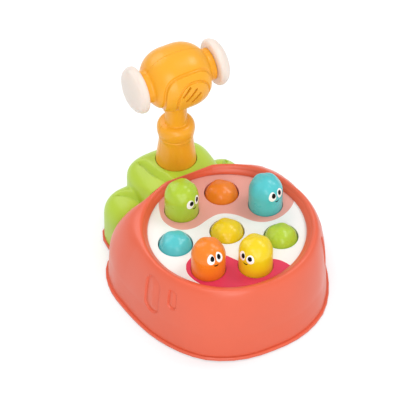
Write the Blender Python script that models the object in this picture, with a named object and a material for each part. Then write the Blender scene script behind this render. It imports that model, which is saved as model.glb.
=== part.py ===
"""Mole pounding game: a carrot-shaped base with eight see-saw moles and a hammer in its leaf.

Metres, +Z up. The game's nose points to -Y and its leaf to +Y. The origin lies on the ground under the
middle of the whole object.
"""
import math

import bmesh
import bpy
import numpy as np
from mathutils import Matrix, Vector, geometry

MM = 0.001

# Clearances
TOUCH = 0.3 * MM            # left between two pieces that touch
RUNNING = 0.25 * MM         # pin in its bore
OVERRUN = 2.0 * MM          # how far a cutter passes the face it cuts
WELD = 0.002 * MM           # points closer than this are one point

# Deck and moles
DECK_HEIGHT = 75.0 * MM
DECK_THICKNESS = 3.0 * MM
WINDOW_RADIUS = 75.6 * MM   # opening of the body that shows the deck
DECK_LAP = 2.0 * MM         # deck edge hidden under the body's lip
RING_INSET = 24.1 * MM      # window's edge to the ring of moles
RING_TURN = math.radians(-86.2)
RING_COUNT = 7
MOLE_SPACING = 12.09 * MM   # between two neighbours on the ring
MOLE_GAP = 0.5 * MM
MOLE_RISE = 36.0 * MM       # top of a raised mole above the deck
MOLE_TRAVEL = 25.0 * MM
MOLE_WALL = 1.7 * MM
MOLE_STOP_LIP = 1.5 * MM
MOLE_STOP_THICKNESS = 2.0 * MM
MOLE_STEM_RADIUS = 5.0 * MM
MOLE_LUMP_DEPTH = 0.7 * MM
MOLE_LUMPS = 6
COLLAR_WALL = 1.6 * MM
COLLAR_DEPTH = 8.0 * MM
EAR_SCREW_INSET = 7.1 * MM  # window's edge to the deck's screws
EAR_OVERHANG = 3.8 * MM     # ears that carry the deck's screws, past the screws
EAR_HALF_WIDTH = 4.5 * MM

# See-saws
ROCKER_FLOOR_GAP = 7.0 * MM
ROCKER_TIP_RADIUS = 3.0 * MM
ROCKER_HUB_RADIUS = 4.3 * MM
ROCKER_BEAM_THICKNESS = 3.6 * MM
ROCKER_WIDTH = 8.0 * MM
ROCKER_STEM_GAP = 0.6 * MM
PIN_RADIUS = 1.5 * MM
EAR_THICKNESS = 2.6 * MM
BRACKET_HALF_DEPTH = 3.3 * MM
BRACKET_FOOT_REACH = 15.0 * MM
BRACKET_FOOT_THICKNESS = 3.0 * MM
BRACKET_SCREW_OFFSET = 11.3 * MM

# Body
SIDE_BORDER = 25.9 * MM     # window's edge to the widest part of the wall
NOSE_BORDER = 18.9 * MM     # window's edge to the nose of the wall
BACK_BORDER = 6.4 * MM      # window's edge to the back wall
BODY_WALL = 2.4 * MM
BODY_DRAFT = 1.5 * MM
SHOULDER_START = 30.0 * MM
RIM_RISE = 10.0 * MM        # crest of the rim above the deck
RIM_WIDTH = 9.0 * MM        # window to crest where there is room
RIM_LIP_DROP = 7.0 * MM     # crest down to the lip's inner edge
RIM_LEAST_SHOULDER = 2.5 * MM
RIM_BACK_DROP = 2.0 * MM    # the rim is lower and nearer the window towards the leaf
RIM_BACK_NARROWING = 2.6 * MM
SHOULDER_POWER = 2.0        # 2 is round, 1 is a straight slope
SHOULDER_BACK_POWERS = (1.4, 1.75)   # right and left back corner
BODY_OUTLINE_SHARES = (     # of BODY_HALF_WIDTH and BODY_NOSE, nose to back corner
    (0.0, -1.0), (0.19, -0.99), (0.35, -0.95), (0.495, -0.882), (0.625, -0.788), (0.73, -0.663),
    (0.812, -0.526), (0.877, -0.38), (0.926, -0.23), (0.965, -0.03), (0.99, 0.2), (1.0, 0.4),
    (0.975, 0.57), (0.93, 0.7), (0.86, 0.81), (0.75, 0.868), (0.6, 0.89), (0.3, 0.89), (0.0, 0.89),
)

# Base plate and feet
FOOT_HEIGHT = 1.2 * MM
FOOT_RADIUS = 8.0 * MM
FRONT_FOOT_SHARES = (0.62, 0.4)      # of BODY_HALF_WIDTH and BODY_NOSE
BASE_THICKNESS = 3.0 * MM
BASE_FLANGE = 2.5 * MM      # how far the plate shows past the walls
BASE_EDGE_BEVEL = 0.8 * MM
BODY_BOSS_ANGLES = tuple(math.radians(degrees) for degrees in (-90, -25, 205, 35, 145))
EAR_ANGLES = tuple(math.radians(degrees) for degrees in (45, 135, 225, 315))

# Leaf: a lobe's place is across the middle and behind the body's back wall
LEAF_GAP = 1.0 * MM
LEAF_WALL = 2.2 * MM
MIDDLE_LOBE_PLACE = (-4.5 * MM, 11.5 * MM)
MIDDLE_LOBE_HALF = (43.5 * MM, 42.5 * MM)
MIDDLE_LOBE_WALL_TOP = 57.0 * MM
LEAF_TOP = 81.5 * MM
LEFT_LOBE_PLACE = (-47.5 * MM, 13.5 * MM)
LEFT_LOBE_HALF = (31.0 * MM, 28.0 * MM)
LEFT_LOBE_WALL_TOP = 31.0 * MM
LEFT_LOBE_TOP = 60.0 * MM
RIGHT_LOBE_PLACE = (38.0 * MM, 7.0 * MM)
RIGHT_LOBE_HALF = (27.0 * MM, 26.0 * MM)
RIGHT_LOBE_WALL_TOP = 30.0 * MM
RIGHT_LOBE_TOP = 61.0 * MM
MIDDLE_LOBE_POWER = 3.8     # of the plan: 2 is an oval, more is squarer
SIDE_LOBE_POWER = 2.7
LEAF_DOME_POWER = 2.5
LEAF_BOSS_SHARES = (1.1, 0.33)       # of the side lobe's place across and of its half depth

# Hammer
HAMMER_SETBACK = 23.5 * MM  # body's back wall to the hammer's axis
HAMMER_SINK = 0.5 * MM      # leaf's top down to where the handle enters it
HANDLE_RADIUS = 19.7 * MM
HANDLE_SKIRT = 10.0 * MM    # wide part of the handle below HAMMER_LEVEL
PLUG_RADIUS = 16.0 * MM
PLUG_DEPTH = 30.0 * MM
SOCKET_GAP = 0.6 * MM
SOCKET_WALL = 2.0 * MM
HEAD_HEIGHT = 109.0 * MM    # hammer level to the head's axis
HEAD_RADIUS = 30.8 * MM
HEAD_HALF_LENGTH = 29.8 * MM
NECK_RADIUS = 16.0 * MM
NECK_END = 36.8 * MM
HAMMER_WALL = 2.2 * MM
CHEEK_RISE = 1.3 * MM       # raised panel on the head's front, seen along Y
CHEEK_HALF = (25.5 * MM, 29.5 * MM)
CHEEK_PLACE = (1.5 * MM, -4.0 * MM)
CHEEK_POWER = 2.4
SLOT_LENGTHS = (13.0 * MM, 17.5 * MM, 14.0 * MM)
SLOT_WIDTH = 1.6 * MM
SLOT_PITCH = 7.0 * MM
SLOT_PLACE = (0.9 * MM, 1.5 * MM)   # middle of the slots from the head's middle
PAD_RADIUS = 23.3 * MM
PAD_THICKNESS = 14.6 * MM
PAD_PLUG_LENGTH = 7.0 * MM
SQUEAKER_RADIUS = 9.5 * MM
SQUEAKER_LENGTH = 9.0 * MM
SQUEAKER_DEPTH = 15.0 * MM  # hammer axis to the squeaker's rear face
HAMMER_BOSS_RADIUS = 3.6 * MM
HEAD_BOSS_SHARE = 0.7       # height of the head's boss, of HEAD_RADIUS
HANDLE_PROFILE = (          # height above HAMMER_LEVEL, radius
    (9.0 * MM, 18.6 * MM), (23.0 * MM, 16.8 * MM), (28.0 * MM, 16.6 * MM), (35.0 * MM, 17.7 * MM),
    (41.0 * MM, 18.4 * MM), (44.5 * MM, 18.1 * MM), (47.0 * MM, 17.2 * MM), (49.4 * MM, 14.8 * MM),
    (50.4 * MM, 10.8 * MM), (68.0 * MM, 10.6 * MM), (80.0 * MM, 11.5 * MM),
)

# Screws
SCREW_RADIUS = 1.4 * MM
SCREW_HOLE_RADIUS = 1.7 * MM
SCREW_HEAD_RADIUS = 2.8 * MM
SCREW_HEAD_THICKNESS = 1.2 * MM
COUNTERBORE_RADIUS = 3.2 * MM
BOSS_RADIUS = 4.0 * MM
BODY_BOSS_HEIGHT = 30.0 * MM
BASE_SCREW_LENGTH = 12.0 * MM
DECK_SCREW_LENGTH = 7.0 * MM
BRACKET_SCREW_LENGTH = 4.4 * MM
HAMMER_SCREW_LENGTH = 10.0 * MM

# Facets
ROUND = 18
HEAD_FACETS = 20
LOBE_FACETS = 32
SMALL_ROUND = 8
SCREW_FACETS = 6
BODY_FACETS = 48
OUTLINE_FACETS = 64
SMOOTH_ANGLE = math.radians(35)
BACK_BLEND_START = math.radians(-30)
BACK_BLEND_END = math.radians(12)

# Derived sizes, levels and places
RING_RADIUS = WINDOW_RADIUS - RING_INSET
MOLE_RADIUS = RING_RADIUS * math.sin(math.pi / RING_COUNT) - MOLE_SPACING / 2
EAR_SCREW_RADIUS = WINDOW_RADIUS + EAR_SCREW_INSET
EAR_REACH = EAR_SCREW_RADIUS + EAR_OVERHANG
BODY_HALF_WIDTH = WINDOW_RADIUS + SIDE_BORDER
BODY_NOSE = WINDOW_RADIUS + NOSE_BORDER
BODY_BACK = WINDOW_RADIUS + BACK_BORDER
LEAF_FRONT = BODY_BACK + LEAF_GAP
BASE_BOTTOM = FOOT_HEIGHT + TOUCH
BASE_TOP = BASE_BOTTOM + BASE_THICKNESS
DECK_BOTTOM = DECK_HEIGHT - DECK_THICKNESS
DECK_RADIUS = WINDOW_RADIUS + DECK_LAP
LIP_BOTTOM = DECK_HEIGHT + TOUCH
CREST = DECK_HEIGHT + RIM_RISE
HOLE_RADIUS = MOLE_RADIUS + MOLE_GAP
COLLAR_BOTTOM = DECK_BOTTOM - COLLAR_DEPTH
ROCKER_SWING_HEIGHT = MOLE_TRAVEL / 2
PIVOT_HEIGHT = BASE_TOP + ROCKER_FLOOR_GAP + ROCKER_TIP_RADIUS + ROCKER_SWING_HEIGHT
LEAF_BACK = BODY_BACK + MIDDLE_LOBE_PLACE[1] + MIDDLE_LOBE_HALF[1]
DECK_Y = (BODY_NOSE - LEAF_BACK) / 2
HAMMER_Y = DECK_Y + BODY_BACK + HAMMER_SETBACK
HAMMER_LEVEL = LEAF_TOP - HAMMER_SINK
HEAD_LEVEL = HAMMER_LEVEL + HEAD_HEIGHT
SOCKET_FLOOR = HAMMER_LEVEL - HANDLE_SKIRT - TOUCH

# place from the deck's centre, half sizes, plan power, wall top and dome top of each lobe
LEAF_LOBES = {
    "middle": ((MIDDLE_LOBE_PLACE[0], BODY_BACK + MIDDLE_LOBE_PLACE[1]),
               MIDDLE_LOBE_HALF, MIDDLE_LOBE_POWER, MIDDLE_LOBE_WALL_TOP, LEAF_TOP),
    "left": ((LEFT_LOBE_PLACE[0], BODY_BACK + LEFT_LOBE_PLACE[1]),
             LEFT_LOBE_HALF, SIDE_LOBE_POWER, LEFT_LOBE_WALL_TOP, LEFT_LOBE_TOP),
    "right": ((RIGHT_LOBE_PLACE[0], BODY_BACK + RIGHT_LOBE_PLACE[1]),
              RIGHT_LOBE_HALF, SIDE_LOBE_POWER, RIGHT_LOBE_WALL_TOP, RIGHT_LOBE_TOP),
}

CORAL = (0.870, 0.170, 0.098)
GREEN = (0.410, 0.580, 0.045)
ORANGE = (0.910, 0.385, 0.023)
WHITE = (0.900, 0.890, 0.860)
CREAM = (0.820, 0.730, 0.660)
MOLE_ORANGE = (0.870, 0.250, 0.030)
BLUE = (0.090, 0.520, 0.560)
YELLOW = (0.850, 0.660, 0.028)
GREY = (0.550, 0.560, 0.580)
DARK = (0.080, 0.080, 0.085)

# name, colour, ring place (None is the middle), raised or not
MOLES = (
    ("mole_front", YELLOW, 0, True),
    ("mole_front_right", GREEN, 1, False),
    ("mole_right", BLUE, 2, True),
    ("mole_back_right", MOLE_ORANGE, 3, False),
    ("mole_back_left", GREEN, 4, True),
    ("mole_left", BLUE, 5, False),
    ("mole_front_left", MOLE_ORANGE, 6, True),
    ("mole_middle", YELLOW, None, False),
)
# rocker, the raised mole at one end, the lowered mole at the other
ROCKERS = (
    ("front", "mole_front", "mole_front_right"),
    ("right", "mole_right", "mole_back_right"),
    ("left", "mole_back_left", "mole_left"),
    ("middle", "mole_front_left", "mole_middle"),
)


def clear_scene():
    for thing in list(bpy.data.objects):
        bpy.data.objects.remove(thing, do_unlink=True)


def make_material(name, colour, roughness=0.4, metallic=0.0):
    material = bpy.data.materials.new(name)
    material.use_nodes = True
    shader = material.node_tree.nodes["Principled BSDF"]
    shader.inputs["Base Color"].default_value = (*colour, 1.0)
    shader.inputs["Roughness"].default_value = roughness
    shader.inputs["Metallic"].default_value = metallic
    material.diffuse_color = (*colour, 1.0)
    return material


def add_object(name, vertices, faces, origin=(0, 0, 0)):
    """One closed piece from world coordinates, its object origin at the given point."""
    shift = Vector(origin)
    mesh = bpy.data.meshes.new(name)
    mesh.from_pydata([Vector(v) - shift for v in vertices], [], faces)
    shape = bmesh.new()
    shape.from_mesh(mesh)
    bmesh.ops.recalc_face_normals(shape, faces=shape.faces)
    shape.to_mesh(mesh)
    shape.free()
    thing = bpy.data.objects.new(name, mesh)
    thing.location = shift
    bpy.context.scene.collection.objects.link(thing)
    return thing


def finish(thing, material):
    thing.data.materials.clear()
    thing.data.materials.append(material)
    thing.data.shade_smooth()
    thing.data.set_sharp_from_angle(angle=SMOOTH_ANGLE)
    return thing


def copy_object(thing, name, location, turn):
    twin = bpy.data.objects.new(name, thing.data)
    twin.location = location
    twin.rotation_euler = turn
    bpy.context.scene.collection.objects.link(twin)
    return twin


def combine(target, tool, operation):
    """Boolean of two objects, written into the target; the tool is removed."""
    modifier = target.modifiers.new("combine", "BOOLEAN")
    modifier.operation = operation
    modifier.solver = "EXACT"
    modifier.object = tool
    graph = bpy.context.evaluated_depsgraph_get()
    mesh = bpy.data.meshes.new_from_object(target.evaluated_get(graph))
    target.modifiers.remove(modifier)
    shape = bmesh.new()
    shape.from_mesh(mesh)
    bmesh.ops.remove_doubles(shape, verts=shape.verts, dist=WELD)
    shape.to_mesh(mesh)
    shape.free()
    target.data = mesh
    bpy.data.objects.remove(tool, do_unlink=True)
    return target


def joined(name, shapes):
    """One object from several separate shapes, each given as its vertices and faces."""
    vertices, faces = [], []
    for shape_vertices, shape_faces in shapes:
        start = len(vertices)
        vertices.extend(shape_vertices)
        faces.extend([[index + start for index in face] for face in shape_faces])
    return add_object(name, vertices, faces)


def loft(rings, close=False):
    """Skin over rings of equal count: capped at both ends, or closed on itself."""
    vertices = [point for ring in rings for point in ring]
    count = len(rings[0])
    faces = []
    spans = len(rings) if close else len(rings) - 1
    for row in range(spans):
        here, there = row * count, ((row + 1) % len(rings)) * count
        for k in range(count):
            after = (k + 1) % count
            faces.append([here + k, here + after, there + after, there + k])
    if not close:
        faces.append(list(range(count)))
        faces.append([(len(rings) - 1) * count + k for k in range(count)])
    return vertices, faces


def revolved(profile, centre, count=ROUND, axis="Z", radius_at=None):
    """Solid of revolution. The profile is (along, radius); a zero radius is a point on the axis."""
    vertices, faces, rows = [], [], []
    for along, radius in profile:
        if radius == 0:
            rows.append([len(vertices)])
            vertices.append(place_on_axis(centre, axis, along, 0, 0))
            continue
        row = []
        for k in range(count):
            angle = math.tau * k / count
            reach = radius_at(along, radius, angle) if radius_at else radius
            row.append(len(vertices))
            vertices.append(place_on_axis(centre, axis, along,
                                          reach * math.cos(angle), reach * math.sin(angle)))
        rows.append(row)
    for lower, upper in zip(rows, rows[1:]):
        for k in range(count):
            after = (k + 1) % count
            corners = [lower[k % len(lower)], lower[after % len(lower)],
                       upper[after % len(upper)], upper[k % len(upper)]]
            faces.append(list(dict.fromkeys(corners)))
    return vertices, faces


def place_on_axis(centre, axis, along, across, rise):
    if axis == "Z":
        offset = (across, rise, along)
    elif axis == "X":
        offset = (along, across, rise)
    else:
        offset = (rise, along, across)
    return tuple(c + o for c, o in zip(centre, offset))


def cylinder(centre, radius, low, high, count=SMALL_ROUND, axis="Z"):
    return revolved([(low, 0), (low, radius), (high, radius), (high, 0)], centre, count, axis)


def box(low, high):
    corners = [(x, y, z) for x in (low[0], high[0]) for y in (low[1], high[1]) for z in (low[2], high[2])]
    faces = [[0, 1, 3, 2], [4, 6, 7, 5], [0, 4, 5, 1], [2, 3, 7, 6], [0, 2, 6, 4], [1, 5, 7, 3]]
    return corners, faces


def perforated(edge_rings, holes):
    """Plate from its edge rings, bottom to top, each (outline, height), and its round holes.

    A hole is (centre, facets, profile); the profile runs from the bottom face to the top one as
    (radius, height) and may leave the plate, which makes a collar.
    """
    vertices, faces = [], []
    loops_low, loops_high = [], []

    def add_loop(points, height):
        start = len(vertices)
        vertices.extend([(x, y, height) for x, y in points])
        return list(range(start, len(vertices)))

    def stitch(rows):
        for lower, upper in zip(rows, rows[1:]):
            for k in range(len(lower)):
                after = (k + 1) % len(lower)
                faces.append([lower[k], lower[after], upper[after], upper[k]])

    edge = [add_loop(outline, height) for outline, height in edge_rings]
    stitch(edge)
    loops_low.append(edge[0])
    loops_high.append(edge[-1])
    for centre, count, profile in holes:
        rows = []
        for radius, height in profile:
            points = [(centre[0] + radius * math.cos(math.tau * k / count),
                       centre[1] + radius * math.sin(math.tau * k / count)) for k in range(count)]
            rows.append(add_loop(points, height))
        stitch(rows)
        loops_low.append(rows[0])
        loops_high.append(rows[-1])
    for loops in (loops_low, loops_high):
        flat = [index for loop in loops for index in loop]
        lines = [[Vector((vertices[i][0], vertices[i][1], 0)) for i in loop] for loop in loops]
        for corners in geometry.tessellate_polygon(lines):
            faces.append([flat[c] for c in corners])
    return vertices, faces


def smooth_outline(shares, half_width, reach, steps=8):
    """Closed outline through the share points, mirrored in X, as a Catmull-Rom curve."""
    right = [(x * half_width, y * reach) for x, y in shares]
    left = [(-x, y) for x, y in reversed(right[1:-1])]
    knots = np.array(right + left)
    points = []
    for k in range(len(knots)):
        before, start, end, after = (knots[(k + j) % len(knots)] for j in (-1, 0, 1, 2))
        for step in range(steps):
            t = step / steps
            points.append(0.5 * (2 * start + (end - before) * t
                                 + (2 * before - 5 * start + 4 * end - after) * t * t
                                 + (3 * start - before - 3 * end + after) * t ** 3))
    return np.array(points)


def farthest(points, centre, angles):
    """Distance from the centre to the farthest crossing of a closed outline, for each angle."""
    start = points - np.array(centre)
    side = np.roll(start, -1, axis=0) - start
    reach = np.zeros(len(angles))
    for k, angle in enumerate(angles):
        ray = np.array((math.cos(angle), math.sin(angle)))
        cross = ray[0] * side[:, 1] - ray[1] * side[:, 0]
        cross = np.where(np.abs(cross) < 1e-15, 1e-15, cross)
        along = (start[:, 0] * side[:, 1] - start[:, 1] * side[:, 0]) / cross
        share = (start[:, 0] * ray[1] - start[:, 1] * ray[0]) / cross
        hits = along[(share >= -1e-9) & (share <= 1 + 1e-9) & (along > 0)]
        reach[k] = hits.max() if len(hits) else 0
    return reach


def superellipse(centre, half, power, count):
    points = []
    for k in range(count):
        angle = math.tau * k / count
        c, s = math.cos(angle), math.sin(angle)
        points.append((centre[0] + half[0] * math.copysign(abs(c) ** (2 / power), c),
                       centre[1] + half[1] * math.copysign(abs(s) ** (2 / power), s)))
    return np.array(points)


def body_outline():
    points = smooth_outline(BODY_OUTLINE_SHARES, BODY_HALF_WIDTH, BODY_NOSE)
    points[:, 1] = np.minimum(points[:, 1], BODY_BACK)
    return points + np.array((0, DECK_Y))


BODY_ANGLES = [math.tau * k / BODY_FACETS - math.pi / 2 for k in range(BODY_FACETS)]
BODY_REACH = farthest(body_outline(), (0, DECK_Y), BODY_ANGLES)


def ring_at(radii, heights):
    heights = np.broadcast_to(heights, len(BODY_ANGLES))
    return [(r * math.cos(a), DECK_Y + r * math.sin(a), h) for r, a, h in zip(radii, BODY_ANGLES, heights)]


def backness():
    """0 at the nose and the sides, 1 at the back corners and the back, for each body angle."""
    return np.clip((np.sin(BODY_ANGLES) - math.sin(BACK_BLEND_START))
                   / (math.sin(BACK_BLEND_END) - math.sin(BACK_BLEND_START)), 0, 1)


def shoulder_rings(wall, wall_height, crest, crest_height, turns):
    """Rings of the shoulder, from above the wall up to the crest."""
    leftness = (1 - np.cos(BODY_ANGLES)) / 2
    back_power = SHOULDER_BACK_POWERS[0] + (SHOULDER_BACK_POWERS[1] - SHOULDER_BACK_POWERS[0]) * leftness
    exponent = 2 / (SHOULDER_POWER + (back_power - SHOULDER_POWER) * backness())
    rings = []
    for k in range(1, turns + 1):
        turn = math.pi / 2 * k / turns
        cosine = 0 if k == turns else math.cos(turn)
        rings.append(ring_at(crest + (wall - crest) * cosine ** exponent,
                             wall_height + (crest_height - wall_height) * math.sin(turn) ** exponent))
    return rings


def body_solid():
    """The body's outer shape, still closed over the deck's window."""
    shoulder = BODY_REACH - BODY_DRAFT
    crest_height = CREST - RIM_BACK_DROP * backness()
    crest = np.minimum(WINDOW_RADIUS + RIM_WIDTH - RIM_BACK_NARROWING * backness(),
                       shoulder - RIM_LEAST_SHOULDER)
    rings = [ring_at(BODY_REACH, BASE_TOP + TOUCH), ring_at(shoulder, SHOULDER_START)]
    rings += shoulder_rings(shoulder, SHOULDER_START, crest, crest_height, 6)
    for inward_share, drop_share in ((0.3, 0.12), (0.62, 0.45), (1.0, 1.0)):
        rings.append(ring_at(crest + (WINDOW_RADIUS - crest) * inward_share,
                             crest_height - RIM_LIP_DROP * drop_share))
    return loft(rings)


def body_cavity():
    """The hollow inside the body, up to the face that the deck lies against."""
    pocket = DECK_RADIUS + TOUCH
    wall_foot = BODY_REACH - BODY_WALL
    wall_top = wall_foot - BODY_DRAFT
    room = np.clip((wall_top - pocket) / (2 * RIM_WIDTH), 0, 1)
    crest_radius = pocket + TOUCH + room * (RIM_WIDTH / 2 - RIM_BACK_NARROWING * backness())
    crest_height = LIP_BOTTOM + TOUCH + room * (CREST - RIM_BACK_DROP * backness() - BODY_WALL
                                                - LIP_BOTTOM - TOUCH)
    wall_top = np.maximum(wall_top, crest_radius + TOUCH)
    rings = [ring_at(wall_foot, BASE_TOP - OVERRUN), ring_at(wall_top, SHOULDER_START)]
    rings += shoulder_rings(wall_top, SHOULDER_START, crest_radius, crest_height, 5)
    rings.append(ring_at(np.full(BODY_FACETS, pocket), LIP_BOTTOM))
    return loft(rings)


def base_pilot_top():
    """Height to which the holes for the base plate's screws reach."""
    return BASE_BOTTOM + SCREW_HEAD_THICKNESS + BASE_SCREW_LENGTH + SCREW_RADIUS + OVERRUN / 2


def body_boss_places():
    """Screw bosses fused to the body's wall, as (x, y)."""
    places = []
    for angle in BODY_BOSS_ANGLES:
        reach = farthest(body_outline(), (0, DECK_Y), [angle])[0] - BODY_WALL - BOSS_RADIUS / 2
        places.append((reach * math.cos(angle), DECK_Y + reach * math.sin(angle)))
    return places


def ear_screw_places():
    return [(EAR_SCREW_RADIUS * math.cos(a), DECK_Y + EAR_SCREW_RADIUS * math.sin(a)) for a in EAR_ANGLES]


def body_shell():
    posts = [cylinder((x, y, 0), BOSS_RADIUS, BASE_TOP - 2 * OVERRUN, BODY_BOSS_HEIGHT)
             for x, y in body_boss_places()]
    posts += [cylinder((x, y, 0), BOSS_RADIUS, LIP_BOTTOM, CREST) for x, y in ear_screw_places()]
    cavity = combine(joined("cavity", [body_cavity()]), joined("posts", posts), "DIFFERENCE")
    body = combine(joined("body_shell", [body_solid()]), cavity, "DIFFERENCE")
    window = joined("window", [cylinder((0, DECK_Y, 0), WINDOW_RADIUS, DECK_BOTTOM, CREST + OVERRUN,
                                        BODY_FACETS)])
    combine(body, window, "DIFFERENCE")
    foot = BASE_TOP + TOUCH
    trim = joined("trim", [box((-2 * BODY_HALF_WIDTH, -2 * BODY_NOSE, foot - 4 * OVERRUN),
                               (2 * BODY_HALF_WIDTH, 2 * BODY_NOSE, foot))])
    combine(body, trim, "DIFFERENCE")
    holes = [cylinder((x, y, 0), SCREW_HOLE_RADIUS, foot - OVERRUN, base_pilot_top())
             for x, y in body_boss_places()]
    holes += [cylinder((x, y, 0), SCREW_HOLE_RADIUS, LIP_BOTTOM - OVERRUN,
                       DECK_BOTTOM + DECK_SCREW_LENGTH + SCREW_RADIUS) for x, y in ear_screw_places()]
    return combine(body, joined("holes", holes), "DIFFERENCE")


def leaf_lobes(inset):
    """The lobes as (centre, half sizes, plan power, wall height, top), drawn in by the inset."""
    return [((place[0], DECK_Y + place[1]), (half[0] - inset, half[1] - inset), power, start, top - inset)
            for place, half, power, start, top in LEAF_LOBES.values()]


def lobe_solid(lobe, foot, count, turns):
    """One puffy lobe: an upright wall and a dome that closes in a flat crown."""
    centre, half, power, start, top = lobe
    levels = [(foot, 1.0), (start, 1.0)]
    for k in range(1, turns + 1):
        turn = math.pi / 2 * k / (turns + 0.6)
        levels.append((start + (top - start) * math.sin(turn) ** (2 / LEAF_DOME_POWER),
                       math.cos(turn) ** (2 / LEAF_DOME_POWER)))
    rings = []
    for height, scale in levels:
        outline = superellipse(centre, (half[0] * scale, half[1] * scale), power, count)
        rings.append([(x, y, height) for x, y in outline])
    return loft(rings)


def leaf_volume(name, inset, foot, front, turns):
    lobes = leaf_lobes(inset)
    volume = joined(name, [lobe_solid(lobes[0], foot, LOBE_FACETS, turns)])
    for lobe in lobes[1:]:
        combine(volume, joined("lobe", [lobe_solid(lobe, foot, LOBE_FACETS, turns)]), "UNION")
    reach = 2 * BODY_HALF_WIDTH
    cut = joined("cut", [box((-reach, DECK_Y - reach, foot - OVERRUN),
                             (reach, DECK_Y + front, LEAF_TOP + OVERRUN))])
    return combine(volume, cut, "DIFFERENCE")


def leaf_boss_places():
    places = []
    for side in ("left", "right"):
        place, half = LEAF_LOBES[side][:2]
        across, back = LEAF_BOSS_SHARES
        places.append((place[0] * across, DECK_Y + place[1] + half[1] * back))
    return places


def leaf_cover():
    foot = BASE_TOP + TOUCH
    leaf = leaf_volume("leaf_cover", 0, foot, LEAF_FRONT, 5)
    cavity = leaf_volume("cavity", LEAF_WALL, foot - OVERRUN, LEAF_FRONT + LEAF_WALL, 4)
    socket_radius = HANDLE_RADIUS + SOCKET_GAP
    plug_hole = PLUG_RADIUS + SOCKET_GAP
    plug_floor = HAMMER_LEVEL - PLUG_DEPTH - TOUCH
    axis = (0, HAMMER_Y, 0)
    cup = [(plug_floor - SOCKET_WALL, 0), (plug_floor - SOCKET_WALL, plug_hole + SOCKET_WALL),
           (SOCKET_FLOOR - 2 * SOCKET_WALL, plug_hole + SOCKET_WALL),
           (SOCKET_FLOOR - SOCKET_WALL, socket_radius + SOCKET_WALL),
           (LEAF_TOP + OVERRUN, socket_radius + SOCKET_WALL), (LEAF_TOP + OVERRUN, 0)]
    combine(cavity, joined("cup", [revolved(cup, axis, ROUND + 4)]), "DIFFERENCE")
    posts = [cylinder((x, y, 0), BOSS_RADIUS, foot - 2 * OVERRUN, LEAF_TOP) for x, y in leaf_boss_places()]
    combine(cavity, joined("posts", posts), "DIFFERENCE")
    combine(leaf, cavity, "DIFFERENCE")
    socket = [(plug_floor, 0), (plug_floor, plug_hole), (SOCKET_FLOOR, plug_hole),
              (SOCKET_FLOOR, socket_radius), (LEAF_TOP + OVERRUN, socket_radius), (LEAF_TOP + OVERRUN, 0)]
    combine(leaf, joined("socket", [revolved(socket, axis, ROUND + 4)]), "DIFFERENCE")
    trim = joined("trim", [box((-2 * BODY_HALF_WIDTH, 0, foot - 4 * OVERRUN),
                               (2 * BODY_HALF_WIDTH, 2 * LEAF_BACK, foot))])
    combine(leaf, trim, "DIFFERENCE")
    holes = [cylinder((x, y, 0), SCREW_HOLE_RADIUS, foot - OVERRUN, base_pilot_top())
             for x, y in leaf_boss_places()]
    return combine(leaf, joined("holes", holes), "DIFFERENCE")


def base_outline(grow):
    """The body's and the leaf's outlines together, as seen from a point between them."""
    centre = (0, DECK_Y + BODY_BACK / 2)
    angles = [math.tau * k / OUTLINE_FACETS - math.pi / 2 for k in range(OUTLINE_FACETS)]
    reach = farthest(body_outline(), centre, angles)
    for lobe_centre, half, power, _, _ in leaf_lobes(0):
        outline = superellipse(lobe_centre, half, power, 2 * OUTLINE_FACETS)
        reach = np.maximum(reach, farthest(outline, centre, angles))
    reach = reach + grow
    return [(centre[0] + r * math.cos(a), centre[1] + r * math.sin(a)) for r, a in zip(reach, angles)]


def mole_place(ring_place):
    if ring_place is None:
        return (0, DECK_Y)
    angle = RING_TURN + math.tau * ring_place / RING_COUNT
    return (RING_RADIUS * math.cos(angle), DECK_Y + RING_RADIUS * math.sin(angle))


MOLE_PLACES = {name: mole_place(place) for name, _, place, _ in MOLES}


def rocker_layout(raised, lowered):
    """Pivot point, heading towards the raised mole, half length and tilt of one see-saw."""
    high, low = MOLE_PLACES[raised], MOLE_PLACES[lowered]
    pivot = ((high[0] + low[0]) / 2, (high[1] + low[1]) / 2, PIVOT_HEIGHT)
    heading = math.atan2(high[1] - low[1], high[0] - low[0])
    half = math.hypot(high[0] - low[0], high[1] - low[1]) / 2
    return pivot, heading, half, math.asin(ROCKER_SWING_HEIGHT / half)


def bracket_screw_places():
    places = []
    for _, raised, lowered in ROCKERS:
        pivot, heading, _, _ = rocker_layout(raised, lowered)
        for side in (-1, 1):
            across = side * BRACKET_SCREW_OFFSET
            places.append((pivot[0] - across * math.sin(heading), pivot[1] + across * math.cos(heading)))
    return places


def base_plate():
    screws = body_boss_places() + leaf_boss_places() + bracket_screw_places()
    seat = BASE_BOTTOM + SCREW_HEAD_THICKNESS + TOUCH
    hole = [(COUNTERBORE_RADIUS, BASE_BOTTOM), (COUNTERBORE_RADIUS, seat),
            (SCREW_HOLE_RADIUS, seat), (SCREW_HOLE_RADIUS, BASE_TOP)]
    edge = [(base_outline(BASE_FLANGE), BASE_BOTTOM), (base_outline(BASE_FLANGE), BASE_TOP - BASE_EDGE_BEVEL),
            (base_outline(BASE_FLANGE - BASE_EDGE_BEVEL), BASE_TOP)]
    return joined("base_plate", [perforated(edge, [(place, SMALL_ROUND, hole) for place in screws])])


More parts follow.
